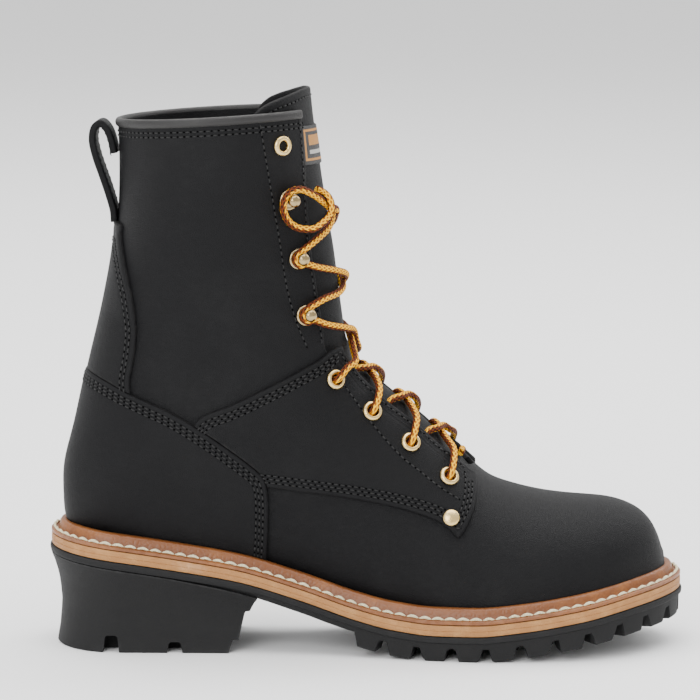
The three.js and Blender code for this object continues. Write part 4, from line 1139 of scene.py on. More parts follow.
def wear_group() -> bpy.types.NodeTree:
    """Mask of edges that rub, from how sharply the surface turns, broken up by noise.

    Returns:
        The group.
    """
    tree = new_group("Wear", {"Amount": (FLOAT, 0.5)}, {"Mask": FLOAT})
    n = Nodes(tree)
    entry = n.add("NodeGroupInput")
    edge = n.span(n.add("ShaderNodeNewGeometry").outputs["Pointiness"], 0.52, 0.62)
    coords = n.add("ShaderNodeTexCoord").outputs["Object"]
    noise = n.add("ShaderNodeTexNoise", {"Vector": coords, "Scale": 260.0, "Detail": 3.0})
    broken = n.math("MULTIPLY", edge, n.span(noise.outputs["Fac"], 0.3, 0.7))
    leave = n.add("NodeGroupOutput")
    n.link(n.math("MULTIPLY", broken, entry.outputs["Amount"], clamp=True), leave, "Mask")
    return tree


class Groups:
    """The shared effects, each built once."""

    def __init__(self) -> None:
        """Builds the groups."""
        self.mottle = mottle_group()
        self.grain = grain_group()
        self.wear = wear_group()


@dataclass(frozen=True)
class Finish:
    """A finish of one of the boot's materials and how its surface varies."""

    name: str
    base: tuple[int, int, int]
    light: tuple[int, int, int]
    roughness: float
    amount: float = 0.6
    mottle_scale: float = 22.0
    grain_scale: float = 900.0
    grain_depth: float = 0.00025
    wear: float = 0.3
    worn: tuple[int, int, int] = (110, 106, 102)
    metallic: float = 0.0
    specular: float = 0.5
    sheen: float = 0.0

    def build(self, groups: Groups) -> bpy.types.Material:
        """Material with mottled colour, grain and worn edges.

        Args:
            groups: The shared shader groups.

        Returns:
            The material.
        """
        material = bpy.data.materials.new(self.name)
        material.use_nodes = True
        n = Nodes(material.node_tree)
        shader = material.node_tree.nodes["Principled BSDF"]
        mottle = n.add("ShaderNodeGroup", node_tree=groups.mottle)
        mottle.inputs["Scale"].default_value = self.mottle_scale
        mottle.inputs["Base"].default_value = linear(*self.base)
        mottle.inputs["Light"].default_value = linear(*self.light)
        mottle.inputs["Amount"].default_value = self.amount
        wear = n.add("ShaderNodeGroup", {"Amount": self.wear}, node_tree=groups.wear)
        colour = n.mix(wear.outputs["Mask"], mottle.outputs["Color"], linear(*self.worn))
        n.link(colour, shader, "Base Color")
        rough = n.math("MULTIPLY_ADD", mottle.outputs["Mask"], 0.12, self.roughness)
        n.link(rough, shader, "Roughness")
        shader.inputs["Metallic"].default_value = self.metallic
        shader.inputs["Specular IOR Level"].default_value = self.specular
        shader.inputs["Sheen Weight"].default_value = self.sheen
        grain = n.add("ShaderNodeGroup", {"Scale": self.grain_scale}, node_tree=groups.grain)
        raised = n.add("ShaderNodeBump", {"Height": grain.outputs["Height"], "Distance": self.grain_depth,
                                          "Strength": 1.0})
        n.link(raised.outputs["Normal"], shader, "Normal")
        return material


class Finishes:
    """All the boot's materials."""

    def __init__(self) -> None:
        """Builds the shared groups and each material."""
        groups = Groups()
        self.leather = Finish("black_leather", (5, 5, 7), (20, 20, 21), 0.56, amount=0.9, grain_scale=1300.0,
                              grain_depth=0.00014, specular=0.18, worn=(60, 58, 56)).build(groups)
        self.binding = Finish("binding", (34, 33, 33), (52, 51, 49), 0.5, grain_scale=1100.0, wear=0.4,
                              grain_depth=0.00008, specular=0.35, worn=(84, 82, 78)).build(groups)
        self.welt = Finish("welt", (112, 62, 22), (160, 100, 46), 0.42, mottle_scale=60.0, grain_scale=420.0,
                           grain_depth=0.0001, worn=(190, 140, 100)).build(groups)
        self.edge = Finish("midsole_edge", (160, 110, 60), (196, 148, 92), 0.6, mottle_scale=140.0,
                           grain_scale=1500.0, grain_depth=0.00012, worn=(210, 170, 136)).build(groups)
        self.rubber = Finish("rubber", (6, 6, 7), (15, 15, 16), 0.68, mottle_scale=40.0, grain_scale=1600.0,
                             grain_depth=0.00008, specular=0.35, worn=(78, 78, 78)).build(groups)
        self.insole = Finish("insole", (112, 96, 74), (138, 120, 94), 0.85, grain_scale=300.0).build(groups)
        self.brass = Finish("brass", (222, 192, 128), (240, 222, 176), 0.24, mottle_scale=300.0, amount=0.5,
                            grain_depth=0.00002, metallic=1.0, worn=(250, 244, 226)).build(groups)
        self.steel = Finish("hook_metal", (158, 138, 100), (202, 180, 136), 0.17, mottle_scale=300.0,
                            amount=0.5, grain_depth=0.00002, metallic=1.0, worn=(245, 240, 230)).build(groups)
        self.thread = Finish("black_thread", (5, 5, 5), (16, 16, 16), 0.5, wear=0.0, grain_scale=3000.0,
                             grain_depth=0.00008).build(groups)
        # Near-black, matte and without gloss: painted shade at the needle holes and down the eyelets'
        # barrels.
        self.hole = Finish("needle_hole", (2, 2, 2), (4, 4, 4), 0.95, wear=0.0, specular=0.0).build(groups)
        self.ivory = Finish("welt_thread", (236, 224, 186), (250, 242, 214), 0.7, mottle_scale=400.0,
                            wear=0.0, grain_scale=2600.0, grain_depth=0.0002).build(groups)
        self.label = self.label_cloth()
        self.lace = self.lace_braid()

    @staticmethod
    def label_cloth() -> bpy.types.Material:
        """Black woven label with an amber border and plain stripes, on the piece's own UV map.

        Returns:
            The material.
        """
        material = bpy.data.materials.new("label_cloth")
        material.use_nodes = True
        n = Nodes(material.node_tree)
        shader = material.node_tree.nodes["Principled BSDF"]
        uv = n.add("ShaderNodeUVMap", uv_map="label")
        parts = n.add("ShaderNodeSeparateXYZ", {"Vector": uv.outputs["UV"]})
        u, v = parts.outputs["X"], parts.outputs["Y"]
        side = n.math("MINIMUM", u, n.math("SUBTRACT", 1.0, u))
        end = n.math("MINIMUM", v, n.math("SUBTRACT", 1.0, v))
        inner = n.math("MINIMUM", n.math("MULTIPLY", side, 2.3), end)
        border = n.math("COMPARE", inner, 0.13, 0.03)
        stripe = n.math("COMPARE", v, 0.62, 0.13)
        within = n.math("GREATER_THAN", n.math("MULTIPLY", side, 2.3), 0.28)
        amber = n.math("MAXIMUM", border, n.math("MULTIPLY", stripe, within))
        pale = n.math("MULTIPLY", n.math("COMPARE", v, 0.32, 0.05), within)
        thread = n.math("ABSOLUTE", n.math("SINE", n.math("MULTIPLY", v, 190.0)))
        cross = n.math("ABSOLUTE", n.math("SINE", n.math("MULTIPLY", u, 420.0)))
        ground = n.mix(thread, linear(16, 16, 17), linear(34, 33, 33))
        gold = n.mix(thread, linear(176, 104, 28), linear(226, 160, 60))
        colour = n.mix(pale, n.mix(amber, ground, gold), linear(206, 204, 198))
        n.link(colour, shader, "Base Color")
        shader.inputs["Roughness"].default_value = 0.85
        shader.inputs["Sheen Weight"].default_value = 0.2
        raised = n.add("ShaderNodeBump", {"Height": n.math("ADD", thread, cross), "Distance": 0.0002})
        n.link(raised.outputs["Normal"], shader, "Normal")
        return material

    @staticmethod
    def lace_braid() -> bpy.types.Material:
        """Braided lace in yellow with a brown stripe along it, on the tube's UV map, darkened in the braid's
        grooves as painted shade.

        Returns:
            The material.
        """
        material = bpy.data.materials.new("lace_braid")
        material.use_nodes = True
        n = Nodes(material.node_tree)
        shader = material.node_tree.nodes["Principled BSDF"]
        uv = n.add("ShaderNodeUVMap", uv_map="lace")
        parts = n.add("ShaderNodeSeparateXYZ", {"Vector": uv.outputs["UV"]})
        u, v = parts.outputs["X"], parts.outputs["Y"]
        left = n.math("SINE", n.math("MULTIPLY", n.math("MULTIPLY_ADD", u, LACE_STRANDS, v), math.tau))
        right = n.math("SINE", n.math("MULTIPLY", n.math("MULTIPLY_ADD", u, -LACE_STRANDS, v), math.tau))
        braid = n.math("MAXIMUM", left, right)
        wander = n.math("MULTIPLY", n.math("SUBTRACT", left, right), 0.012)
        around = n.math("FRACT", n.math("MULTIPLY", n.math("ADD", u, wander), LACE_STRIPES))
        across = n.math("ABSOLUTE", n.math("SUBTRACT", around, 0.5))
        stripe = n.span(across, 0.23, 0.27, 1.0, 0.0)
        # Painted shade: both colours darken where the braid's height is low, in the grooves between the
        # strands.
        shade = n.span(braid, -0.1, 0.95)
        gold = n.mix(shade, linear(148, 84, 2), linear(252, 186, 10))
        brown = n.mix(shade, linear(34, 13, 2), linear(108, 46, 6))
        n.link(n.mix(stripe, gold, brown), shader, "Base Color")
        shader.inputs["Roughness"].default_value = 0.7
        shader.inputs["Specular IOR Level"].default_value = 0.2
        raised = n.add("ShaderNodeBump", {"Height": braid, "Distance": 0.00012})
        n.link(raised.outputs["Normal"], shader, "Normal")
        return material


LACE_STRANDS = 6.0
LACE_STRIPES = 2.0


# Repeats along seams


class SeamStyle(NamedTuple):
    """Sizes of one kind of stitch, in millimetres."""

    length: float
    width: float
    height: float
    pitch: float


BLACK_SEAM = SeamStyle(2.3, 0.8, 0.6, 3.4)
# Sizes of the near-black spots of painted shade at the needle holes.
HOLE_SHADE_SPOT = SeamStyle(1.3, 1.0, 0.3, 3.4)
WELT_SEAM = SeamStyle(6.3, 1.5, 1.45, 6.25)
SMALL_SHARP = 50.0


def band_faces(rings: int, sides: int, joined: bool = False) -> list[tuple[int, ...]]:
    """Quads between rings of points that follow each other.

    Args:
        rings: Number of rings.
        sides: Points in each ring.
        joined: Whether the last ring joins the first.

    Returns:
        The faces, as rows of indices.
    """
    faces = []
    for low in range(rings if joined else rings - 1):
        high = (low + 1) % rings
        for here in range(sides):
            after = (here + 1) % sides
            faces.append((low * sides + here, low * sides + after, high * sides + after, high * sides + here))
    return faces


def tube_faces(rings: int, sides: int) -> list[tuple[int, ...]]:
    """Faces of a capped tube whose rings follow each other."""
    caps = [tuple(range(sides - 1, -1, -1)), tuple(range((rings - 1) * sides, rings * sides))]
    return band_faces(rings, sides) + caps


def slab(top: Array, bottom: Array) -> tuple[Array, Array]:
    """Closed solid between two nets of points.

    Args:
        top: Upper net, its rows along X and its columns along Y.
        bottom: Lower net of the same rows and columns.

    Returns:
        Points and quads.
    """
    index = np.arange(top.shape[0] * top.shape[1]).reshape(top.shape[:2])
    below = index.size
    quads = np.stack([index[:-1, :-1], index[1:, :-1], index[1:, 1:], index[:-1, 1:]], 2).reshape(-1, 4)
    border = np.concatenate([index[0, :], index[1:, -1], index[-1, -2::-1], index[-2:0:-1, 0]])
    after = np.roll(border, -1)
    walls = np.stack([border, after, after + below, border + below], 1)
    points = np.concatenate([top.reshape(-1, 3), bottom.reshape(-1, 3)])
    return points, np.concatenate([quads, quads[:, ::-1] + below, walls])


def apply_modifier(obj: bpy.types.Object, modifier: bpy.types.Modifier) -> None:
    """Gives an object the plain mesh that its modifier makes, and removes the modifier.

    Args:
        obj: The object.
        modifier: Its only modifier.
    """
    depsgraph = bpy.context.evaluated_depsgraph_get()
    mesh = bpy.data.meshes.new_from_object(obj.evaluated_get(depsgraph), depsgraph=depsgraph)
    obj.modifiers.remove(modifier)
    obj.data = mesh


class Scatter:
    """Geometry Nodes tree that sets a small shape on every point, turned by its attributes."""

    def __init__(self, name: str) -> None:
        """Builds the tree with its named inputs.

        Args:
            name: Name of the tree.
        """
        tree = bpy.data.node_groups.new(name, "GeometryNodeTree")
        face = tree.interface
        face.new_socket("Geometry", in_out="INPUT", socket_type="NodeSocketGeometry")
        for key, kind in (("Shape", "NodeSocketObject"), ("Jitter", FLOAT), ("Seed", "NodeSocketInt"),
                          ("Material", "NodeSocketMaterial")):
            face.new_socket(key, in_out="INPUT", socket_type=kind)
        face.new_socket("Geometry", in_out="OUTPUT", socket_type="NodeSocketGeometry")
        n = Nodes(tree)
        entry = n.add("NodeGroupInput")
        shape = n.add("GeometryNodeObjectInfo", {"Object": entry.outputs["Shape"]})
        along = n.add("GeometryNodeInputNamedAttribute", {"Name": "along"}, data_type="FLOAT_VECTOR")
        out = n.add("GeometryNodeInputNamedAttribute", {"Name": "out"}, data_type="FLOAT_VECTOR")
        up = n.add("FunctionNodeAlignRotationToVector", {"Vector": out.outputs["Attribute"]}, axis="Z")
        turned = n.add("FunctionNodeAlignRotationToVector",
                       {"Rotation": up.outputs[0], "Vector": along.outputs["Attribute"]},
                       axis="X", pivot_axis="Z")
        low = n.math("SUBTRACT", 1.0, entry.outputs["Jitter"])
        high = n.math("ADD", 1.0, entry.outputs["Jitter"])
        size = n.add("FunctionNodeRandomValue", {2: low, 3: high, "Seed": entry.outputs["Seed"]},
                     data_type="FLOAT")
        placed = n.add("GeometryNodeInstanceOnPoints",
                       {"Points": entry.outputs["Geometry"], "Instance": shape.outputs["Geometry"],
                        "Rotation": turned.outputs[0], "Scale": size.outputs[1]})
        real = n.add("GeometryNodeRealizeInstances", {"Geometry": placed.outputs[0]})
        dressed = n.add("GeometryNodeSetMaterial", {"Geometry": real.outputs[0],
                                                    "Material": entry.outputs["Material"]})
        leave = n.add("NodeGroupOutput")
        n.link(dressed.outputs[0], leave, 0)
        self.tree = tree

    def place(self, name: str, points: Array, along: Array, out: Array, shape: bpy.types.Object,
              material: bpy.types.Material, jitter: float = 0.05, seed: int = 7) -> bpy.types.Object:
        """Plain mesh of the shape set on every point.

        Args:
            name: Name of the new piece.
            points: Places in millimetres.
            along: Direction of each shape's X axis.
            out: Direction of each shape's Z axis.
            shape: The object that is repeated.
            material: Material of the result.
            jitter: Share by which sizes vary.
            seed: Seed of that variation.

        Returns:
            The object with its modifier already removed.
        """
        cloud = bpy.data.meshes.new(f"{name}_points")
        cloud.from_pydata([tuple(p) for p in points * MM], [], [])
        for key, values in (("along", along), ("out", out)):
            layer = cloud.attributes.new(key, "FLOAT_VECTOR", "POINT")
            layer.data.foreach_set("vector", np.ascontiguousarray(unit(values), dtype=np.float32).ravel())
        obj = bpy.data.objects.new(name, cloud)
        bpy.context.scene.collection.objects.link(obj)
        modifier = obj.modifiers.new("scatter", "NODES")
        modifier.node_group = self.tree
        sockets = {item.name: item.identifier for item in self.tree.interface.items_tree
                   if item.in_out == "INPUT"}
        for key, value in (("Shape", shape), ("Jitter", jitter), ("Seed", seed), ("Material", material)):
            modifier[sockets[key]] = value
        apply_modifier(obj, modifier)
        bpy.data.meshes.remove(cloud)
        obj.data.shade_smooth()
        obj.data.set_sharp_from_angle(angle=math.radians(SMALL_SHARP))
        return obj


def hidden_shape(name: str, points: Array, faces: Array | list) -> bpy.types.Object:
    """Shape that is only repeated by a scatter and isn't itself in the scene.

    Args:
        name: Name of the shape.
        points: Points in millimetres.
        faces: Rows of indices.

    Returns:
        The object, in no collection.
    """
    mesh = bpy.data.meshes.new(name)
    mesh.from_pydata([tuple(p) for p in np.asarray(points, float) * MM], [],
                     [tuple(map(int, f)) for f in faces])
    mesh.update()
    obj = bpy.data.objects.new(name, mesh)
    turn_outwards(obj)
    return obj


def stitch_shape(name: str, style: SeamStyle, sides: int = 6, steps: int = 6) -> bpy.types.Object:
    """One stitch: a round thread that dives at both ends.

    Args:
        name: Name of the shape.
        style: Sizes of the stitch.
        sides: Points round the thread.
        steps: Rings along it.

    Returns:
        The shape.
    """
    ring = np.linspace(0, math.tau, sides, endpoint=False)
    points = []
    for i in range(steps + 1):
        t = i / steps
        bulge = math.sin(math.pi * (0.06 + 0.88 * t)) ** 0.5
        lift = style.height * (0.75 * math.sin(math.pi * t) - 0.4)
        for a in ring:
            points.append((style.length * (t - 0.5), 0.5 * style.width * bulge * math.cos(a),
                           lift + 0.5 * style.height * bulge * math.sin(a)))
    return hidden_shape(name, np.array(points), tube_faces(steps + 1, sides))


def lathe(profile: Sequence[tuple[float, float]], sides: int) -> tuple[Array, list]:
    """Mesh turned about Z from a closed or axis-to-axis profile of radius and height.

    Args:
        profile: Radius and height of each point.
        sides: Points round the axis.

    Returns:
        Points and faces.
    """
    points: list[tuple[float, float, float]] = []
    index: list[list[int]] = []
    for radius, height in profile:
        if radius < 1e-6:
            points.append((0.0, 0.0, height))
            index.append([len(points) - 1] * sides)
            continue
        index.append(list(range(len(points), len(points) + sides)))
        for k in range(sides):
            a = math.tau * k / sides
            points.append((radius * math.cos(a), radius * math.sin(a), height))
    faces = []
    closed = profile[0][0] > 1e-6
    for low, high in zip(index, index[1:] + (index[:1] if closed else [])):
        for k in range(sides):
            j = (k + 1) % sides
            corners = [low[k], low[j], high[j], high[k]]
            faces.append(tuple(dict.fromkeys(corners)))
    return np.array(points), faces


class Seams:
    """Collects the points of every black seam and turns them into thread and near-black spots of painted
    shade at the needle holes.
    """

    def __init__(self) -> None:
        """Starts with no seam."""
        self.points: list[Array] = []
        self.along: list[Array] = []
        self.out: list[Array] = []

    def follow(self, rows: Array, lift: float, style: SeamStyle, keep: Callable[[Array], Array] | None = None
               ) -> None:
        """Adds a seam along a line.

        Args:
            rows: Points and outward normals along the seam.
            lift: Height of the leather's face over those points.
            style: Sizes of the stitch.
            keep: Tells which places are sewn.
        """
        if len(rows) < 4 or length_of(rows[:, :3]) < 3 * style.pitch:
            return
        line = resample(rows[:, :6], style.pitch)
        tangent = np.gradient(line[:, :3], axis=0)
        normal = unit(line[:, 3:6])
        place = line[:, :3] + normal * lift
        mask = keep(place) if keep else np.ones(len(place), bool)
        self.points.append(place[mask])
        self.along.append(tangent[mask])
        self.out.append(normal[mask])

    def sew(self, scatter: Scatter, thread: bpy.types.Material, hole: bpy.types.Material) -> None:
        """Makes the thread of all the seams and the near-black spots of painted shade at their needle holes.

        Args:
            scatter: Tree that repeats a shape.
            thread: Material of the thread.
            hole: Near-black material of the painted shade at the holes.
        """
        points, along, out = (np.concatenate(part) for part in (self.points, self.along, self.out))
        stitch = stitch_shape("stitch", BLACK_SEAM, 6, 4)
        finish_piece(scatter.place("seam_thread", points, along, out, stitch, thread), "upper_leather")
        # Near-black spots between the stitches: painted shade where the thread dives into its holes.
        width, height = HOLE_SHADE_SPOT.width, HOLE_SHADE_SPOT.height
        spots, faces = lathe([(0.0, -0.5 * height), (0.5 * width, 0.0), (0.3 * width, 0.35 * height),
                              (0.0, 0.5 * height)], 7)
        between = points + 0.5 * BLACK_SEAM.pitch * unit(along)
        shape = hidden_shape("needle_hole", spots, faces)
        finish_piece(scatter.place("needle_holes", between, along, out, shape, hole), "upper_leather")


# Leather


class Reach(NamedTuple):
    """Part of the form that a net covers: lowest and highest section number, and step between rows."""

    first: float
    last: float
    step: float


UPPER_REACH = Reach(-1.0, 20.0, 2.1)
COLLAR_REACH = Reach(17.5, 20.0, 1.6)
SEAM_REACH = Reach(6.8, 20.0, 2.0)
QUARTER_REACH = Reach(6.3, 14.2, 1.25)
COUNTER_REACH = Reach(8.5, 16.2, 1.5)
BACKSTAY_REACH = Reach(12.5, 19.2, 1.4)
BINDING_REACH = Reach(18.0, 20.0, 1.2)
TONGUE_REACH = Reach(6.0, 20.0, 1.8)
LABEL_REACH = Reach(17.0, 20.0, 1.5)


@dataclass
class Leather:
    """The upper and its layers, cut from the boot form."""

    form: BootForm
    finishes: Finishes
    seams: Seams
    wall: float = 2.2
    gap: float = 0.3
    quarter_thickness: float = 1.8
    counter_thickness: float = 2.4
    backstay_thickness: float = 1.8
    tongue_thickness: float = 2.6
    binding_height: float = 4.5
    binding_thickness: float = 1.4
    seam_rows: tuple[float, ...] = (2.75, 4.5, 6.2)
    edge_levels: tuple[float, ...] = (0.35, 0.9, 1.7)
    wall_levels: tuple[float, ...] = (0.4, 1.0, 2.0)
    binding_levels: tuple[float, ...] = (0.25, 0.6, 1.1, 1.7)
    overlay_roll: float = 1.5
    overlay_sink: float = 0.25
    wall_roll: float = 1.6
    wall_sink: float = 0.9
    furrow_span: float = 0.8
    furrow_depth: float = 0.28
    furrow_width: float = 0.7
    stitch_sink: float = 0.15
    facing_row: float = 2.4
    facing_seam_foot: float = 152.0
    collar_drops: tuple[float, ...] = (2.1, 4.3)
    backstay_seam_top: float = 205.0
    quarter_seam_front: float = 50.0
    quarter_seam_low: float = 84.0
    tongue_row: float = 4.2
    tongue_seam_foot: float = 180.0
    label_half: float = 23.0
    label_thickness: float = 0.6
    pull_width: float = 19.0
    pull_thickness: float = 3.4
    pull_round: float = 0.9
    pull_row: float = 2.4

    def overlay(self, patch: Patch, field_name: str, base: float, thickness: float,
                rows: Sequence[float] = ()) -> tuple[Array, Array]:
        """Layer of leather with a rolled edge and a furrow under each row of stitches.

        Args:
            patch: Patch, already clipped.
            field_name: Field that holds the distance from the layer's edge.
            base: Height of its inner face.
            thickness: Thickness of the leather.
            rows: Distances of its stitch rows from the edge.

        Returns:
            Points and triangles of the closed layer.
        """
        patch.refine(field_name, self.edge_levels)
        for row in rows:
            patch.refine(field_name, (row - self.furrow_span, row, row + self.furrow_span))
        depth = patch.values(field_name)
        top = base + thickness * (0.5 + 0.5 * rounded(depth, self.overlay_roll))
        for row in rows:
            top = top - self.furrow_depth * bump(depth - row, self.furrow_width)
        return patch.solid(top, np.full(len(depth), base - self.overlay_sink))

    @staticmethod
    def all_round(count: int) -> Array:
        """Even shares of the way round the whole form."""
        return np.linspace(-1, 1, count, endpoint=False)

    @staticmethod
    def round_back(front: float, last: float, count: int) -> Array:
        """Shares from one side round the back to the other.

        Args:
            front: Share at the foremost column on either side.
            last: Share at the column next to the back's middle.
            count: Columns on the lateral side.

        Returns:
            The shares.
        """
        return np.concatenate([np.linspace(front, 1.0, count), np.linspace(-last, -front, count - 1)])

    def dress(self, name: str, points: Array, faces: Array | list, *nodes: str) -> None:
        """Makes a piece of the upper's leather that stands for its nodes."""
        finish_piece(make_object(name, points, faces, self.finishes.leather), "upper_leather", *nodes)

    def upper(self) -> None:
        """The hollow main wall, open at the collar, at the throat and underneath."""
        form = self.form
        net = form.grid(*UPPER_REACH, self.all_round(150), wrap=True)
        x, z = net.points[..., 0], net.points[..., 2]
        edge = np.minimum(form.collar_height(x) - self.binding_height / 2 - z,
                          z - form.sole_line(x) - self.gap)
        edge = np.minimum(edge, net.behind)
        patch = Patch(net, {"edge": edge, "behind": net.behind})
        patch.clip("edge")
        patch.refine("edge", self.wall_levels)
        depth = patch.values("edge")
        top = self.wall_sink * (rounded(depth, self.wall_roll) - 1)
        points, faces = patch.solid(top, np.full(len(depth), -self.wall))
        self.dress("upper_leather", points, faces, "vamp", "heel_wall", "shaft")
        foot, head = self.facing_seam_foot, form.boot_height - 4.0
        for chain in patch.lines("behind", self.facing_row):
            self.seams.follow(chain, 0.0, BLACK_SEAM, lambda p: (p[:, 2] > foot) & (p[:, 2] < head))

    def collar_rows(self) -> None:
        """Two rows of stitches under the collar's binding."""
        form = self.form
        net = form.grid(*COLLAR_REACH, self.all_round(150), wrap=True)
        x, z = net.points[..., 0], net.points[..., 2]
        patch = Patch(net, {"drop": form.collar_height(x) - z, "behind": net.behind})
        patch.clip("behind", 2.0)
        for drop in self.collar_drops:
            for chain in patch.lines("drop", self.binding_height + drop):
                self.seams.follow(chain, 0.0, BLACK_SEAM)

    def cut_side_seam(self, spots: Sequence[Spot], side: Side, lift: float) -> None:
        """Seam on one side along a side-view line.

        Args:
            spots: Points of the line in side view.
            side: Side of the boot.
            lift: Height of the leather's face over the form.
        """
        form = self.form
        turns = np.linspace(0.02, 0.8, 90) * -side.value
        net = form.grid(*SEAM_REACH, turns)
        line = form.outline(spots, 8, closed=False)
        rows = []
        x, z = net.points[..., 0], net.points[..., 2]
        facing_camera = side.value * net.normals[..., 1] > 0.02
        for px, pz in line:
            miss = np.hypot(x - px, z - pz) + np.where(facing_camera, 0, 1e3)
            i, j = np.unravel_index(int(np.argmin(miss)), miss.shape)
            point, normal = net.points[i, j], net.normals[i, j]
            fix = np.array([px - point[0], 0.0, pz - point[2]])
            if abs(normal[1]) > 0.15:
                fix[1] = -(fix @ normal) / normal[1]
            rows.append(np.concatenate([point + fix, normal]))
        self.seams.follow(np.array(rows), lift, BLACK_SEAM)

    def counter_field(self, net: Grid) -> Array:
        """Distance inside the counter's outline."""
        return outline_distance(self.form.outline(COUNTER_OUTLINE), net.points[..., 0], net.points[..., 2])

    def quarter(self, side: Side) -> None:
        """Side panel that carries the eyelets, with three rows of stitches along its edges.

        Args:
            side: Side of the boot.
        """
        form = self.form
        turns = np.linspace(0.03, 0.93, 170) * -side.value
        net = form.grid(*QUARTER_REACH, turns, facing="quarter")
        x, z = net.points[..., 0], net.points[..., 2]
        counter = self.counter_field(net)
        edge = outline_distance(form.outline(QUARTER_OUTLINE), x, z)
        edge = np.minimum(edge, net.behind)
        patch = Patch(net, {"edge": edge, "behind": net.behind, "clear": -counter - self.gap})
        patch.clip("edge")
        patch.clip("clear")
        rows = self.seam_rows
        points, faces = self.overlay(patch, "edge", self.gap, self.quarter_thickness, rows)
        name = side.name.lower()
        self.dress(f"quarter_{name}_leather", points, faces, f"quarter_{name}")
        face = self.gap + self.quarter_thickness

        def sewn(place: Array) -> Array:
            """Places along the panel's upper and lower edges, and none in front of the throat."""
            return (place[:, 0] < self.quarter_seam_front) | (place[:, 2] < self.quarter_seam_low)

        for row in rows:
            for chain in patch.lines("edge", row):
                inside = (chain[:, patch.names["behind"]] > row + 1.0) | (row == rows[0])
                ends = np.flatnonzero(np.diff(inside.astype(int))) + 1
                for part in np.split(np.arange(len(chain)), ends):
                    if inside[part].all():
                        self.seams.follow(chain[part], face - self.stitch_sink, BLACK_SEAM, sewn)
        self.cut_side_seam(EYESTAY_SEAM, side, face)

    def counter(self) -> None:
        """Heel overlay, round the back of the boot."""
        form = self.form
        net = form.grid(*COUNTER_REACH, self.round_back(0.30, 0.9926, 95))
        x, z = net.points[..., 0], net.points[..., 2]
        patch = Patch(net, {"edge": self.counter_field(net), "above": z - form.sole_line(x) - self.gap})
        patch.clip("edge")
        patch.clip("above")
        points, faces = self.overlay(patch, "edge", self.gap, self.counter_thickness, self.seam_rows)
        self.dress("counter_leather", points, faces, "counter")
        face = self.gap + self.counter_thickness
        for row in self.seam_rows:
            for chain in patch.lines("edge", row):
                self.seams.follow(chain, face - self.stitch_sink, BLACK_SEAM)

    def backstay(self) -> None:
        """Strip up the back from the counter to the pull loop."""
        form = self.form
        net = form.grid(*BACKSTAY_REACH, self.round_back(0.55, 0.9924, 60))
        x, z = net.points[..., 0], net.points[..., 2]
        edge = outline_distance(form.outline(BACKSTAY_OUTLINE), x, z)
        patch = Patch(net, {"edge": edge, "clear": -self.counter_field(net) - self.gap})
        patch.clip("edge")
        patch.clip("clear")
        rows = self.seam_rows[:2]
        points, faces = self.overlay(patch, "edge", self.gap, self.backstay_thickness, rows)
        self.dress("backstay_leather", points, faces, "backstay")
        lift = self.gap + self.backstay_thickness - self.stitch_sink
        for row in rows:
            for chain in patch.lines("edge", row):
                self.seams.follow(chain, lift, BLACK_SEAM, lambda p: p[:, 2] < self.backstay_seam_top)

    def binding(self) -> None:
        """Rolled leather that binds the collar's edge, inside and out."""
        form = self.form
        net = form.grid(*BINDING_REACH, self.all_round(200), wrap=True)
        x, z = net.points[..., 0], net.points[..., 2]
        drop = form.collar_height(x) - z
        inner = np.minimum(np.minimum(drop, self.binding_height - drop), net.behind)
        patch = Patch(net, {"inner": inner, "drop": drop})
        patch.clip("inner")
        patch.refine("inner", self.binding_levels)
        depth = patch.values("inner")
        roll = rounded(depth, 0.5 * self.binding_height)
        middle = 0.5 * (self.binding_thickness - self.wall)
        half = 0.5 * (self.binding_thickness + self.wall)
        points, faces = patch.solid(middle + half * roll, middle - half * roll)
        finish_piece(make_object("collar_binding_roll", points, faces, self.finishes.binding),
                     "binding_leather", "collar_binding")

    def tongue(self) -> None:
        """Tongue inside the throat, its top standing over the collar."""
        form = self.form
        face = -self.wall - self.gap
        net = form.grid(*TONGUE_REACH, np.linspace(-0.62, 0.62, 150))
        extra = self.above_form(net, 8)
        x, z = extra.points[..., 0], extra.points[..., 2]
        edge = outline_distance(form.outline(TONGUE_OUTLINE), x, z)
        patch = Patch(extra, {"edge": edge})
        patch.clip("edge")
        row = self.tongue_row
        patch.refine("edge", self.wall_levels + (row - 1.0, row, row + 1.0))
        depth = patch.values("edge")
        roll = rounded(depth, self.wall_roll)
        half = 0.5 * self.tongue_thickness
        top = face - half + half * roll - 0.25 * bump(depth - row, 0.8)
        points, faces = patch.solid(top, face - half - half * roll)
        self.dress("tongue_leather", points, faces, "tongue")
        for chain in patch.lines("edge", row):
            self.seams.follow(chain, face - 0.1, BLACK_SEAM, lambda p: p[:, 2] > self.tongue_seam_foot)

    @staticmethod
    def above_form(net: Grid, rows: int) -> Grid:
        """Net with more rows that run on straight past the top of the form.

        Args:
            net: Net up to the form's top.
            rows: Number of rows to add.

        Returns:
            The taller net.
        """
        step = net.points[-1] - net.points[-3]
        more = np.stack([net.points[-1] + 0.5 * step * (k + 1) for k in range(rows)])
        points = np.concatenate([net.points, more])
        normals = np.concatenate([net.normals, np.repeat(net.normals[-1:], rows, 0)])
        return Grid(points, normals, np.zeros(points.shape[:2]), net.wrap)

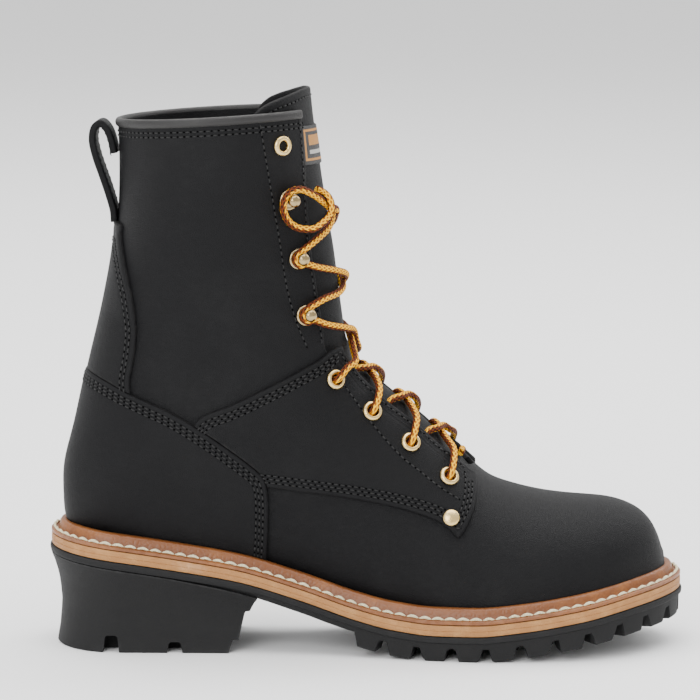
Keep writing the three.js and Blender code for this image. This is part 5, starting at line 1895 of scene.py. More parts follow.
    def label(self) -> None:
        """Woven label on the tongue."""
        form = self.form
        face = -self.wall - self.gap
        net = form.grid(*LABEL_REACH, np.linspace(-0.34, 0.34, 70))
        x, y, z = (net.points[..., k] for k in range(3))
        edge = np.minimum(outline_distance(form.outline(LABEL_OUTLINE, 1), x, z), self.label_half - np.abs(y))
        patch = Patch(net, {"edge": edge})
        patch.clip("edge")
        depth = patch.values("edge")
        points, faces = patch.solid(face + self.gap + self.label_thickness * rounded(depth, 0.5),
                                    np.full(len(depth), face))
        obj = make_object("tongue_label_cloth", points, faces, self.finishes.label)
        layer = obj.data.uv_layers.new(name="label")
        low, high = LABEL_OUTLINE[0].up * form.boot_height, LABEL_OUTLINE[1].up * form.boot_height
        for loop, corner in zip(layer.data, obj.data.loops):
            place = obj.data.vertices[corner.vertex_index].co / MM
            loop.uv = (0.5 + 0.5 * place.y / self.label_half, (place.z - low) / (high - low))
        finish_piece(obj, "label_cloth", "tongue_label")

    def pull_loop(self) -> None:
        """Strap folded over on itself behind the collar, sewn along both edges."""
        form = self.form
        width, thickness, corner = self.pull_width, self.pull_thickness, self.pull_round
        spots = [[form.along(spot.along), 0, spot.up * form.boot_height] for spot in PULL_LOOP_LINE]
        line = spline(np.array(spots), 9)
        tangent = unit(np.gradient(line, axis=0))
        normal = np.stack([-tangent[:, 2], np.zeros(len(line)), tangent[:, 0]], 1)
        profile = []
        for cy, cn, start in ((1, 1, 0), (-1, 1, 90), (-1, -1, 180), (1, -1, 270)):
            for degrees in (0, 30, 60, 90):
                a = math.radians(start + degrees)
                profile.append((cy * (width / 2 - corner) + corner * math.cos(a),
                                cn * (thickness / 2 - corner) + corner * math.sin(a)))
        sides = len(profile)
        points = np.concatenate([[p + n * h + np.array([0.0, y, 0.0]) for y, h in profile]
                                 for p, n in zip(line, normal)])
        faces = tube_faces(len(line), sides)
        self.dress("pull_loop_strap", points, faces, "pull_loop")
        for y in (-width / 2 + self.pull_row, width / 2 - self.pull_row):
            rows = np.concatenate([line + np.array([0.0, y, 0.0]), normal], 1)
            self.seams.follow(rows, thickness / 2 - 0.1, BLACK_SEAM)

    def build(self) -> None:
        """Makes every leather piece."""
        self.upper()
        self.collar_rows()
        for side in Side:
            self.quarter(side)
            self.cut_side_seam(FACING_SEAM, side, 0.0)
        self.counter()
        self.backstay()
        self.binding()
        self.tongue()
        self.label()
        self.pull_loop()


# Throat hardware and laces


@dataclass
class Throat:
    """Places over the throat, for hardware and laces, on the plain form."""

    form: BootForm
    gap: float = 0.3
    quarter_top: float = 2.1
    last_quarter: float = 11.9
    lowest: float = 6.8

    def __post_init__(self) -> None:
        """Keeps a smooth copy of the form without creases."""
        self.plain = BootForm(creases=False, smoothing=self.form.smoothing)

    def facing(self, place: float) -> float:
        """Half-width of the slot that shows at a section."""
        return self.form.facing_half(place, "quarter" if place < self.last_quarter else "shaft")

    def ring(self, place: float, side: Side) -> tuple[Array, Array, Array]:
        """Half of a section with the walk along it and its outward normals.

        Args:
            place: Section number.
            side: Side of the boot.

        Returns:
            Points, distances walked to them, and normals.
        """
        ring = self.plain.half_ring(place, side)
        ahead = self.plain.half_ring(min(place + 0.03, self.plain.top_place), side)
        behind = self.plain.half_ring(max(place - 0.03, 0), side)
        normal = unit(np.cross(ahead - behind, np.gradient(ring, axis=0)))
        if side.value * normal[len(normal) // 2, 1] < 0:
            normal = -normal
        walked = np.concatenate([[0], np.cumsum(np.linalg.norm(np.diff(ring, axis=0), axis=1))])
        return ring, walked, normal

    def behind(self, place: float, side: Side, distance: float) -> tuple[Array, Array]:
        """Point and normal a distance behind the facing edge.

        Args:
            place: Section number.
            side: Side of the boot.
            distance: Distance behind the edge.

        Returns:
            The point and its normal.
        """
        ring, walked, normal = self.ring(place, side)
        widest = int(np.argmax(side.value * ring[:, 1]))
        edge = np.interp(self.facing(place), side.value * ring[:widest + 1, 1], walked[:widest + 1])
        return self.at(ring, walked, normal, edge + distance)

    @staticmethod
    def at(ring: Array, walked: Array, normal: Array, distance: float) -> tuple[Array, Array]:
        """Point and normal at a walk along a ring.

        Args:
            ring: Points of the ring.
            walked: Distances walked to them.
            normal: Their normals.
            distance: Distance walked to the place wanted.

        Returns:
            The point and its normal.
        """
        point = np.array([np.interp(distance, walked, ring[:, k]) for k in range(3)])
        out = unit(np.array([np.interp(distance, walked, normal[:, k]) for k in range(3)]))
        return point, out

    def over_slot(self, place: float, side: Side, across: float, lift: float) -> Array:
        """Point over the slot, at a share of its half-width.

        Args:
            place: Section number.
            side: Side of the boot.
            across: Share of the slot's half-width.
            lift: Height over the form.

        Returns:
            The point.
        """
        ring, walked, normal = self.ring(place, side)
        widest = int(np.argmax(side.value * ring[:, 1]))
        reach = self.facing(place) * across
        distance = np.interp(reach, side.value * ring[:widest + 1, 1], walked[:widest + 1])
        point, out = self.at(ring, walked, normal, distance)
        return point + out * lift

    def at_height(self, height: float, side: Side, across: float, lift: float) -> Array:
        """Point over the slot at a height above the ground.

        Args:
            height: Height above the ground.
            side: Side of the boot.
            across: Share of the slot's half-width.
            lift: Height over the leather.

        Returns:
            The point.
        """
        low, high = self.lowest, self.plain.top_place
        while high - low > 0.01:
            middle = 0.5 * (low + high)
            if self.over_slot(middle, side, across, 0)[2] < height:
                low = middle
            else:
                high = middle
        leather = self.quarter_top * across if low < self.last_quarter else 0.0
        return self.over_slot(low, side, across, leather + lift)


@dataclass
class Hardware:
    """Eyelets, speed hooks and rivets."""

    throat: Throat
    finishes: Finishes
    scatter: Scatter
    eyelet_radius: float = 5.1
    hole_radius: float = 2.4
    eyelet_height: float = 1.5
    hook_base: float = 5.2
    hook_head: float = 3.1
    hook_height: float = 7.8
    rivet_radius: float = 4.2
    rivet_height: float = 1.9

    def frames(self, spots: Sequence[tuple[Fastening, float]], side: Side) -> tuple[Array, Array, Array]:
        """Places, directions along the boot and outward normals of fastenings on one side.

        Args:
            spots: Fastenings, each with the height of the leather under it.
            side: Side of the boot.

        Returns:
            Places, directions and normals.
        """
        places, alongs, outs = [], [], []
        for spot, lift in spots:
            point, out = self.throat.behind(spot.place, side, spot.behind)
            ahead, _ = self.throat.behind(spot.place + 0.05, side, spot.behind)
            along = ahead - point
            places.append(point + out * (lift + 0.3))
            alongs.append(unit(along - out * (along @ out)))
            outs.append(out)
        return np.array(places), np.array(alongs), np.array(outs)

    def both(self, spots: Sequence[tuple[Fastening, float]]) -> tuple[Array, Array, Array]:
        """Frames of fastenings on both sides."""
        left, right = (self.frames(spots, side) for side in Side)
        return tuple(np.concatenate(pair) for pair in zip(left, right))

    def eyelets(self) -> None:
        """Rolled brass rings with a barrel through the leather, and a near-black disc of painted shade down
        each barrel.
        """
        r, hole, h = self.eyelet_radius, self.hole_radius, self.eyelet_height
        crest = 0.5 * (r + hole)
        half = 0.5 * (r - hole)
        profile = [(hole, -4.0), (hole + 0.5, -4.0), (hole + 0.5, -0.2), (r, -0.2)]
        for degrees in range(0, 181, 20):
            a = math.radians(degrees)
            profile.append((crest + half * math.cos(a), h * math.sin(a) * (1 - 0.1 * math.cos(a))))
        points, faces = lathe(profile, 36)
        shape = hidden_shape("eyelet", points, faces)
        spots = [(spot, self.throat.quarter_top) for spot in EYELETS] + [(TOP_EYELET, 0.0)]
        rings = self.scatter.place("eyelet_rings", *self.both(spots), shape, self.finishes.brass, 0.0)
        names = [f"eyelet_{side}_{k}" for side in ("lateral", "medial") for k in (1, 2, 3, 4, "top")]
        finish_piece(rings, "eyelet_brass", *names)
        # Near-black disc down each barrel: painted shade inside the eyelet.
        shade_disc_profile = [(0.0, -3.6), (hole, -3.6), (hole, -3.2), (0.0, -3.2)]
        points, faces = lathe(shade_disc_profile, 16)
        floor = hidden_shape("eyelet_floor", points, faces)
        finish_piece(self.scatter.place("eyelet_shadows", *self.both(spots), floor, self.finishes.hole, 0.0),
                     "upper_leather")

    def hooks(self) -> None:
        """Studs: a rimmed foot, a waist for the lace and a round head."""
        b, head, top = self.hook_base, self.hook_head, self.hook_height
        profile = [(0.0, -0.2), (b, -0.2), (b + 0.1, 0.3), (b - 0.2, 0.9), (b - 0.9, 1.25), (b - 1.5, 1.0),
                   (b - 2.2, 0.95), (2.0, 1.3), (1.4, 2.0), (1.2, 3.4), (1.3, top - 4.0), (1.8, top - 3.4)]
        centre = top - 2.3
        for degrees in range(-50, 91, 10):
            a = math.radians(degrees)
            profile.append((head * math.cos(a), centre + (top - centre) * math.sin(a)))
        profile[-1] = (0.0, top)
        points, faces = lathe(profile, 40)
        shape = hidden_shape("hook", points, faces)
        studs = self.scatter.place("hook_studs", *self.both([(spot, 0.0) for spot in HOOKS]), shape,
                                   self.finishes.steel, 0.0)
        names = [f"hook_{side}_{k}" for side in ("lateral", "medial") for k in (1, 2, 3)]
        finish_piece(studs, "hook_steel", *names)

    def rivets(self) -> None:
        """Domed rivet at the lower corner of each quarter."""
        r, h = self.rivet_radius, self.rivet_height
        profile = [(0.0, -0.3), (r - 0.3, -0.3), (r, 0.15)]
        profile += [(r * math.cos(math.radians(d)), 0.3 + (h - 0.3) * math.sin(math.radians(d)))
                    for d in range(10, 90, 10)]
        profile.append((0.0, h))
        points, faces = lathe(profile, 36)
        shape = hidden_shape("rivet", points, faces)
        caps = self.scatter.place("rivet_caps", *self.both([(RIVET, self.throat.quarter_top)]), shape,
                                  self.finishes.brass, 0.0)
        finish_piece(caps, "rivet_brass", "rivet_lateral", "rivet_medial")

    def build(self) -> None:
        """Makes all the metal."""
        self.eyelets()
        self.hooks()
        self.rivets()


# Route of the lace's end, from the last crossing over and round the upper lateral hook
LOOP_ROUTE = (
    (-14.8, -3.2, 217.7), (-15.2, -7.9, 218.8), (-17.2, -12.7, 219.3), (-20.5, -19.6, 222.7),
    (-24.1, -25.8, 226.3), (-28.0, -30.2, 228.9), (-31.6, -33.1, 230.3), (-35.7, -35.8, 229.6),
    (-38.7, -37.6, 226.5), (-39.7, -37.7, 221.5), (-38.0, -35.7, 215.9), (-33.9, -32.8, 211.9),
    (-28.8, -30.9, 210.6), (-24.6, -29.2, 210.9), (-21.0, -26.2, 213.2), (-17.6, -21.3, 216.5),
    (-16.7, -20.5, 220.7), (-17.9, -19.7, 224.8), (-20.4, -19.2, 227.5), (-23.9, -22.0, 229.5),
)


@dataclass
class Laces:
    """The round braided lace: bar, crossings, runs round the hooks, and its loose end."""

    throat: Throat
    finishes: Finishes
    diameter: float = 3.6
    under: float = -0.3
    rise: float = 2.2
    low: float = 0.0
    bar_low: float = -0.3
    dive: float = 0.72
    sag: float = 0.9
    tuck: float = 4.5
    bar_rise: float = 2.55
    bar_reach: float = 0.3
    ridge: float = 0.02
    ring_height: float = 1.2
    waist: float = 1.2
    flange: float = 1.0
    sides: int = 24
    step: float = 0.4
    braid_pitch: float = 3.4
    braid_depth: float = 0.045

    def tube(self, name: str, runs: Sequence[Array], twist: float = 0.25, tuck: float = 0.0
             ) -> bpy.types.Object:
        """Braided tube along one or more routes.

        Args:
            name: Name of the piece.
            runs: Control points of each route.
            twist: Where the stripe lies round the lace at its start, as a share of a turn.
            tuck: Length over which each end of a route is squeezed thin.

        Returns:
            The object, with its UV map.
        """
        points, faces, coords = [], [], []
        for run in runs:
            line = resample(spline(run, 10), self.step)
            base = sum(len(p) for p in points)
            tangent = unit(np.gradient(line, axis=0))
            normal = unit(np.cross(tangent[0], np.array([0.3, 0.2, 1.0])))
            walk = 0.0
            whole = length_of(line)
            rings = []
            for i, (here, t) in enumerate(zip(line, tangent)):
                normal = unit(normal - t * (normal @ t))
                side = np.cross(t, normal)
                walk += 0.0 if i == 0 else float(np.linalg.norm(here - line[i - 1]))
                v = walk / self.braid_pitch
                a = np.linspace(0, 1, self.sides, endpoint=False)
                left = np.sin(math.tau * (v + LACE_STRANDS * a))
                right = np.sin(math.tau * (v - LACE_STRANDS * a))
                radius = 0.5 * self.diameter * (1 - self.braid_depth * (1 - np.maximum(left, right)))
                if tuck:
                    radius = radius * (0.45 + 0.55 * rounded(np.array(whole - walk), tuck))
                angle = math.tau * (a - twist)
                rings.append(here + radius[:, None] * (np.cos(angle)[:, None] * normal
                                                       + np.sin(angle)[:, None] * side))
                coords += [(k / self.sides, v) for k in range(self.sides)]
            points.append(np.concatenate(rings))
            faces += [tuple(base + i for i in face) for face in tube_faces(len(line), self.sides)]
        obj = make_object(name, np.concatenate(points), faces, self.finishes.lace, 60.0)
        layer = obj.data.uv_layers.new(name="lace")
        for polygon in obj.data.polygons:
            around = [coords[v][0] for v in polygon.vertices]
            wraps = len(around) == 4 and max(around) - min(around) > 0.5
            for loop, vertex in zip(polygon.loop_indices, polygon.vertices):
                u, v = coords[vertex]
                layer.data[loop].uv = (u + 1.0 if wraps and u < 0.5 else u, v)
        return obj

    def hook_span(self, start: Fastening, end: Fastening, side: Side, lift: float,
                  climb: Climb) -> list[Array]:
        """Points over the slot from one side's hook to the other's, by height above the ground.

        Args:
            start: Fastening that the strand leaves.
            end: Fastening in the next row.
            side: Side that the strand leaves.
            lift: Height over the form at the ridge.
            climb: Shares of the way up.

        Returns:
            The points.
        """
        foot = self.throat.behind(start.place, side, start.behind)[0][2]
        head = self.throat.behind(end.place, side, end.behind)[0][2]
        far = Side(-side.value)
        leather = 2 * self.throat.gap + self.diameter / 2
        halfway = 0.5 * (lift + leather) - self.sag
        stops = ((climb.near, side, 1, leather), (0.5 * (climb.near + climb.crest), side, 0.5, halfway),
                 (climb.crest, side, self.ridge, lift),
                 (0.5 * (climb.crest + climb.far), far, 0.5, halfway),
                 (climb.far, far, 1, leather))
        return [self.throat.at_height(foot + share * (head - foot), where, across, height)
                for share, where, across, height in stops]

    def eyelet_span(self, start: Fastening, end: Fastening, side: Side, lift: float) -> list[Array]:
        """Points over the slot from an eyelet down to the far facing's edge, by section number.

        Args:
            start: Eyelet that the strand leaves.
            end: Eyelet in the next row.
            side: Side that the strand leaves.
            lift: Height over the form at the ridge.

        Returns:
            The points.
        """
        near, crest, far = EYELET_CLIMBS[side]
        other = Side(-side.value)
        leather = self.throat.quarter_top + 2 * self.throat.gap + self.diameter / 2
        stops = ((near, side, 1, leather),
                 (0.5 * (near + crest), side, 0.5, 0.5 * (lift + leather) - self.sag),
                 (crest, side, self.ridge, lift),
                 (0.5 * (crest + far), other, 0.5 * self.dive, 0.5 * (lift + self.low)),
                 (far, other, self.dive, self.low), (far + 0.06, other, 0.96, -1.0))
        return [self.throat.over_slot(start.place + share * (end.place - start.place), where, across, height)
                for share, where, across, height in stops]

    def from_eyelet(self, start: Fastening, side: Side) -> list[Array]:
        """Start of a strand that comes up out of an eyelet and crosses its own facing.

        Args:
            start: The eyelet.
            side: Its side.

        Returns:
            The points.
        """
        point, out = self.throat.behind(start.place, side, start.behind)
        top = self.throat.quarter_top + self.throat.gap
        over = top + self.ring_height + self.throat.gap + self.diameter / 2
        beside, beside_out = self.throat.behind(start.place + 0.05, side, 0.5 * start.behind)
        return [point + out * (top - 3.0), point + out * (top + 0.6 * self.diameter),
                beside + beside_out * over]

    def round_hook(self, spot: Fastening, side: Side) -> list[Array]:
        """Points round the back of a hook's waist, from below to above.

        Args:
            spot: The hook.
            side: Its side.

        Returns:
            The points.
        """
        foot, out = self.throat.behind(spot.place, side, spot.behind)
        forward = unit(self.throat.behind(spot.place, side, spot.behind - 1.0)[0] - foot)
        up = self.throat.behind(spot.place + 0.05, side, spot.behind)[0] - foot
        up = unit(up - forward * (up @ forward))
        radius = self.waist + 0.1 + self.diameter / 2
        height = 2 * self.throat.gap + self.flange + self.diameter / 2
        angles = [math.radians(degrees) for degrees in (-80, -130, 180, 130, 80)]
        return [foot + out * height + radius * (forward * math.cos(a) + up * math.sin(a)) for a in angles]

    def hooked(self, side: Side, lifts: tuple[float, float, float], round_top: bool) -> Array:
        """Strand from the last eyelet through the hooks, changing side at each.

        Args:
            side: Side of the last eyelet.
            lifts: Height over the form at each crossing.
            round_top: Whether the strand goes round the top hook.

        Returns:
            Control points of the strand.
        """
        points = self.from_eyelet(EYELETS[-1], side)
        points += self.hook_span(EYELETS[-1], HOOKS[0], side, lifts[0], HOOK_CLIMBS[side][0])
        here = Side(-side.value)
        for i, spot in enumerate(HOOKS):
            top = i + 1 == len(HOOKS)
            if not top or round_top:
                points += self.round_hook(spot, here)
            if not top:
                points += self.hook_span(spot, HOOKS[i + 1], here, lifts[i + 1], HOOK_CLIMBS[here][i + 1])
            here = Side(-here.value)
        return np.array(points if round_top else points[:-2])

    def bar(self) -> None:
        """Straight bar between the lowest eyelets."""
        spot = EYELETS[0]
        eyelet, _ = self.throat.behind(spot.place, Side.LATERAL, spot.behind)
        height = eyelet[2] + self.bar_rise * self.diameter
        stops = ((Side.LATERAL, self.bar_reach), (Side.LATERAL, self.ridge), (Side.MEDIAL, self.bar_reach))
        route = [self.throat.at_height(height, side, across, self.bar_low) for side, across in stops]
        finish_piece(self.tube("lace_bar_braid", [np.array(route)]), "lace", "lace_bar")

    def crossings(self) -> None:
        """The crossings between the eyelets, and the two strands through the hooks."""
        over = self.under + self.rise
        for i, (start, end) in enumerate(zip(EYELETS, EYELETS[1:]), 1):
            runs = [np.array(self.from_eyelet(start, side) + self.eyelet_span(start, end, side, lift))
                    for side, lift in ((Side.LATERAL, self.under), (Side.MEDIAL, over))]
            braid = self.tube(f"lace_crossing_{i}_braid", runs, tuck=self.tuck)
            finish_piece(braid, "lace", f"lace_crossing_{i}")
        runs = [self.hooked(Side.MEDIAL, (over, self.under, over), False),
                self.hooked(Side.LATERAL, (self.under, over, self.under), True)]
        finish_piece(self.tube("lace_hooked_braid", runs), "lace", "lace_hooked")

    def loop(self) -> None:
        """The lace's loose end, a limp cord."""
        route = np.array(LOOP_ROUTE)
        obj = self.tube("lace_loop_braid", [route], 0.6)
        finish_piece(obj, "lace", "lace_loop")


# The bottom


class EdgePoint(NamedTuple):
    """Point of a swept profile: its inset, its height, and 1 where that starts from the layer's foot."""

    inset: float
    up: float
    low: int = 0


class HeelLevel(NamedTuple):
    """Level of the heel block: share of its height, how far it is drawn in, and its breast along the sole."""

    height: float
    inset: float
    breast: float


class Notch(NamedTuple):
    """Notch in the heel's side: its place along the sole, its width and its height."""

    at: float
    width: float
    height: float


# Insets of the welt are shares of its reach
WELT_PROFILE = (
    EdgePoint(0.16, 0.00), EdgePoint(0.10, 0.25), EdgePoint(0.10, 1.50), EdgePoint(0.20, 2.00),
    EdgePoint(0.34, 2.25), EdgePoint(0.46, 2.10), EdgePoint(0.54, 2.20), EdgePoint(0.60, 2.70),
    EdgePoint(0.64, 4.00), EdgePoint(0.69, 5.40), EdgePoint(0.78, 6.70), EdgePoint(0.92, 7.20),
    EdgePoint(1.30, 7.20), EdgePoint(1.60, 6.00), EdgePoint(1.60, 0.00),
)
WELT_ROW = EdgePoint(0.34, 2.45)
MIDSOLE_PROFILE = (
    EdgePoint(1.50, 0.00, 1), EdgePoint(1.00, 0.20, 1), EdgePoint(0.80, 0.80, 1), EdgePoint(0.75, 2.60, 1),
    EdgePoint(0.95, 2.80, 1), EdgePoint(0.75, 3.00, 1), EdgePoint(0.80, -0.80), EdgePoint(1.00, -0.15),
    EdgePoint(1.60, 0.00), EdgePoint(18.0, 0.00), EdgePoint(18.0, 0.00, 1),
)
HEEL_LEVELS = (
    HeelLevel(0.000, 4.20, 0.286), HeelLevel(0.015, 3.40, 0.288), HeelLevel(0.200, 4.80, 0.294),
    HeelLevel(0.215, 4.80, 0.303), HeelLevel(0.350, 5.40, 0.305), HeelLevel(0.470, 5.70, 0.307),
    HeelLevel(0.600, 5.20, 0.311), HeelLevel(0.700, 4.60, 0.314), HeelLevel(0.725, 4.40, 0.321),
    HeelLevel(0.800, 3.60, 0.324), HeelLevel(0.900, 2.20, 0.328), HeelLevel(0.970, 0.90, 0.332),
    HeelLevel(1.000, 0.45, 0.333),
)
HEEL_NOTCHES = (Notch(0.104, 8.0, 8.4), Notch(0.2035, 7.6, 5.4))
WEB_PLACES = (0.00, 0.20, 0.34, 0.44, 0.50, 0.60, 1.00)
WEB_SHARES = (0.15, 0.30, 0.80, 1.00, 0.85, 0.20, 0.20)


@dataclass
class Bottom:
    """Welt, midsole, rubber sole, heel and insole, swept round the sole's edge."""

    form: BootForm
    finishes: Finishes
    scatter: Scatter
    gap: float = 0.3
    midsole: float = 5.6
    strip: float = 3.1
    web: float = 3.0
    tread: float = 9.6
    notch_pitch: float = 17.2
    notch_width: float = 6.4
    notch_height: float = 6.4
    channel_inset: float = 17.0
    channel_depth: float = 5.4
    tread_start: float = 0.484
    spacing: float = 1.5
    cleat_length: float = 10.5
    cleat_inset: float = 21.5
    cleat_round: float = 0.6
    stitch_lean: float = 0.35
    heel_end: float = 0.325
    heel_blend: float = 6.0
    heel_clearance: float = 0.02
    rubber_sharp: float = 36.0
    footbed_inset: float = 11.0
    footbed_thickness: float = 3.5
    footbed_round: float = 1.5

    def __post_init__(self) -> None:
        """Works out the sole's edge as an even closed line, with its inward directions."""
        form = self.form
        half = form.sole_length / 2
        t = np.linspace(0, math.pi, 1600)
        x = -half * np.cos(t)
        x[0], x[-1] = -half + 1e-4, half - 1e-4
        lateral = np.stack([x, -form.sole_half(Side.LATERAL, x)], 1)
        medial = np.stack([x, form.sole_half(Side.MEDIAL, x)], 1)
        loop = np.concatenate([lateral, medial[::-1]])
        self.edge = resample(loop, self.spacing, closed=True)
        for _ in range(3):
            self.edge = 0.25 * np.roll(self.edge, 1, 0) + 0.5 * self.edge + 0.25 * np.roll(self.edge, -1, 0)
        tangent = unit(np.roll(self.edge, -1, 0) - np.roll(self.edge, 1, 0))
        self.inward = np.stack([-tangent[:, 1], tangent[:, 0]], 1)

    def at(self, inset: Array | float) -> Array:
        """Plan of the edge drawn in by an inset."""
        return self.edge + self.inward * np.broadcast_to(np.asarray(inset, float), len(self.edge))[:, None]

    def ring(self, inset: Array | float, height: Callable[[Array], Array] | float | Array) -> Array:
        """Closed line at an inset, its height from a function of x or from the sole line.

        Args:
            inset: Distance by which the edge is drawn in.
            height: Height over the sole line, or a function of x.

        Returns:
            The line's points.
        """
        plan = self.at(inset)
        z = height(plan[:, 0]) if callable(height) else self.form.sole_line(plan[:, 0]) + height
        return np.concatenate([plan, np.asarray(z)[:, None]], 1)

    def sweep(self, name: str, rings: Sequence[Array], material: bpy.types.Material,
              sharp: float = 42.0) -> bpy.types.Object:
        """Closed band through rings that follow each other round a profile."""
        faces = band_faces(len(rings), len(rings[0]), joined=True)
        return make_object(name, np.concatenate(rings), faces, material, sharp)

    def outsole_top(self, x: Array) -> Array:
        """Height of the rubber sole's top."""
        return self.form.sole_line(x) - self.midsole - self.gap

    def strip_bottom(self, x: Array) -> Array:
        """Height of the proud rubber strip's lower edge."""
        return self.outsole_top(x) - self.strip

    def web_bottom(self, x: Array) -> Array:
        """Height of the web's underside, thickest at the arch."""
        share = np.clip(x / self.form.sole_length + 0.5, 0, 1)
        return self.strip_bottom(x) - self.web * np.interp(share, WEB_PLACES, WEB_SHARES)

    def tread_bottom(self, x: Array) -> Array:
        """Height of the lugs' faces, flat on the ground under the ball."""
        return np.maximum(0.0, self.outsole_top(x) - self.strip - self.tread)

    def make_welt(self) -> None:
        """Welt with its stitched ledge and storm rib, and its row of thick thread."""
        reach = self.form.welt_reach
        rings = [self.ring(row.inset * reach, self.gap + row.up) for row in WELT_PROFILE]
        finish_piece(self.sweep("welt_leather", rings, self.finishes.welt), "welt_leather", "welt")
        row = self.ring(WELT_ROW.inset * reach, self.gap + WELT_ROW.up)
        line = resample(row, WELT_SEAM.pitch, closed=True)
        along = np.roll(line, -1, 0) - np.roll(line, 1, 0)
        side = np.stack([along[:, 1], -along[:, 0], np.zeros(len(along))], 1)
        out = unit(np.cross(side, along))
        out *= np.sign(out[:, 2:3])
        out = unit(out + self.stitch_lean * unit(side))
        stitch = stitch_shape("welt_stitch", WELT_SEAM, 8, 8)
        thread = self.scatter.place("welt_stitches", line, along, out, stitch, self.finishes.ivory, 0.06, 3)
        finish_piece(thread, "welt_leather")

    def make_midsole(self) -> None:
        """Tan leather layer with a lightly rounded, sanded edge."""
        rings = [self.ring(row.inset, row.up - self.midsole * row.low) for row in MIDSOLE_PROFILE]
        finish_piece(self.sweep("midsole_band", rings, self.finishes.edge), "midsole_leather", "midsole")

    def notch_mask(self) -> Array:
        """Share of the notch's height by which the tread's face rises, round the edge.

        Returns:
            A share for each point of the edge.
        """
        x = self.edge[:, 0]
        start = self.form.along(self.tread_start)
        step = np.linalg.norm(np.roll(self.edge, -1, 0) - self.edge, axis=1)
        mask = np.zeros(len(x))
        flank = 0.5 * self.notch_width
        for side in Side:
            ids = np.flatnonzero((self.edge[:, 1] * side.value > 0) & (x > start))
            order = ids[np.argsort(x[ids])]
            walked = np.concatenate([[0], np.cumsum(step[order][:-1])])
            offset = np.abs((walked - 0.75 * self.notch_pitch + 0.5 * self.notch_pitch) % self.notch_pitch
                            - 0.5 * self.notch_pitch)
            mask[order] = np.clip((flank - offset) / (flank * 0.36), 0, 1)
        return mask

    def make_outsole(self) -> None:
        """Rubber strip, web and the lugs round the forefoot."""
        form = self.form
        x = self.edge[:, 0]
        fore = x > form.along(self.tread_start)
        mask = self.notch_mask()
        bottom = np.where(fore, self.tread_bottom(x) + self.notch_height * mask, self.web_bottom(x))
        wall = self.strip_bottom(x)

        def tread(inset: float, lift: float) -> Array:
            """Ring at the lugs' faces, raised where a notch is cut.

            Args:
                inset: Distance by which the edge is drawn in.
                lift: Height over the lugs' faces.

            Returns:
                The ring's points.
            """
            plan = self.at(inset)
            raised = np.where(fore, self.tread_bottom(plan[:, 0]) + self.notch_height * mask,
                              self.web_bottom(plan[:, 0]))
            return np.concatenate([plan, (raised + lift)[:, None]], 1)

        def roof(inset: float) -> Array:
            """Ring at the roof of the channel inside the lugs.

            Args:
                inset: Distance by which the edge is drawn in.

            Returns:
                The ring's points.
            """
            plan = self.at(inset)
            low = np.where(fore, self.tread_bottom(plan[:, 0]) + self.channel_depth,
                           self.web_bottom(plan[:, 0]))
            return np.concatenate([plan, low[:, None]], 1)

        heel = 1 - np.clip((x - form.along(self.heel_end)) / self.heel_blend, 0, 1)
        rings = [self.ring(16.0, self.outsole_top), self.ring(0.7, self.outsole_top),
                 self.ring(0.15, lambda v: self.outsole_top(v) - 0.5),
                 self.ring(0.0, lambda v: self.outsole_top(v) - 1.4),
                 self.ring(0.15, lambda v: self.strip_bottom(v) + 0.5),
                 self.ring(0.8 - 0.45 * heel, self.strip_bottom),
                 self.ring(1.3 - 0.85 * heel, lambda v: self.strip_bottom(v) - 0.25)]
        middle = np.concatenate([self.at(1.4), (0.5 * (wall + bottom))[:, None]], 1)
        inner = self.channel_inset
        rings += [middle, tread(1.5, 0.7), tread(2.1, 0.0), tread(inner - 1.2, 0.0), tread(inner - 0.6, 0.6),
                  roof(inner), roof(inner + 2.5)]
        rubber = self.sweep("outsole_rubber", rings, self.finishes.rubber, self.rubber_sharp)
        finish_piece(rubber, "rubber", "outsole")
        self.plate("outsole_plate", self.channel_inset - 3.0, self.under_web, self.outsole_top,
                   self.finishes.rubber, "rubber")
        self.cleats()

    def under_web(self, x: Array) -> Array:
        """Underside of the rubber plate inside the ring of lugs.

        Args:
            x: Length coordinates.

        Returns:
            Heights in millimetres.
        """
        share = x / self.form.sole_length + 0.5
        fore = np.clip((share - self.tread_start) / 0.02, 0, 1)
        return self.web_bottom(x) * (1 - fore) + (self.tread_bottom(x) + self.channel_depth + 0.4) * fore

    def plate(self, name: str, inset: float, low: Callable[[Array], Array], high: Callable[[Array], Array],
              material: bpy.types.Material, slot: str, nodes: Sequence[str] = (),
              soften: float = 0.0) -> None:
        """Solid plate inside an inset of the sole's edge, between two heights.

        Args:
            name: Name of the piece.
            inset: Distance from the sole's edge.
            low: Height of the underside, from x.
            high: Height of the top, from x.
            material: Its material.
            slot: Name of its material slot.
            nodes: Nodes that it stands for.
            soften: Drop of the top at its rim.
        """
        count = 120
        half = self.form.sole_length / 2 - inset
        x = -half * np.cos(np.linspace(0.02, math.pi - 0.02, count))
        shares = np.linspace(-1, 1, 25)
        left = -self.form.sole_half(Side.LATERAL, x, inset)
        right = self.form.sole_half(Side.MEDIAL, x, inset)
        y = left[:, None] + (right - left)[:, None] * (0.5 + 0.5 * shares[None, :])
        grid_x = np.repeat(x[:, None], len(shares), 1)
        drop = soften * (1 - rounded(1 - np.abs(shares), 0.12))[None, :]
        top = np.stack([grid_x, y, high(grid_x.ravel()).reshape(y.shape) - drop], 2)
        bottom = np.stack([grid_x, y, low(grid_x.ravel()).reshape(y.shape)], 2)
        finish_piece(make_object(name, *slab(top, bottom), material), slot, *nodes)

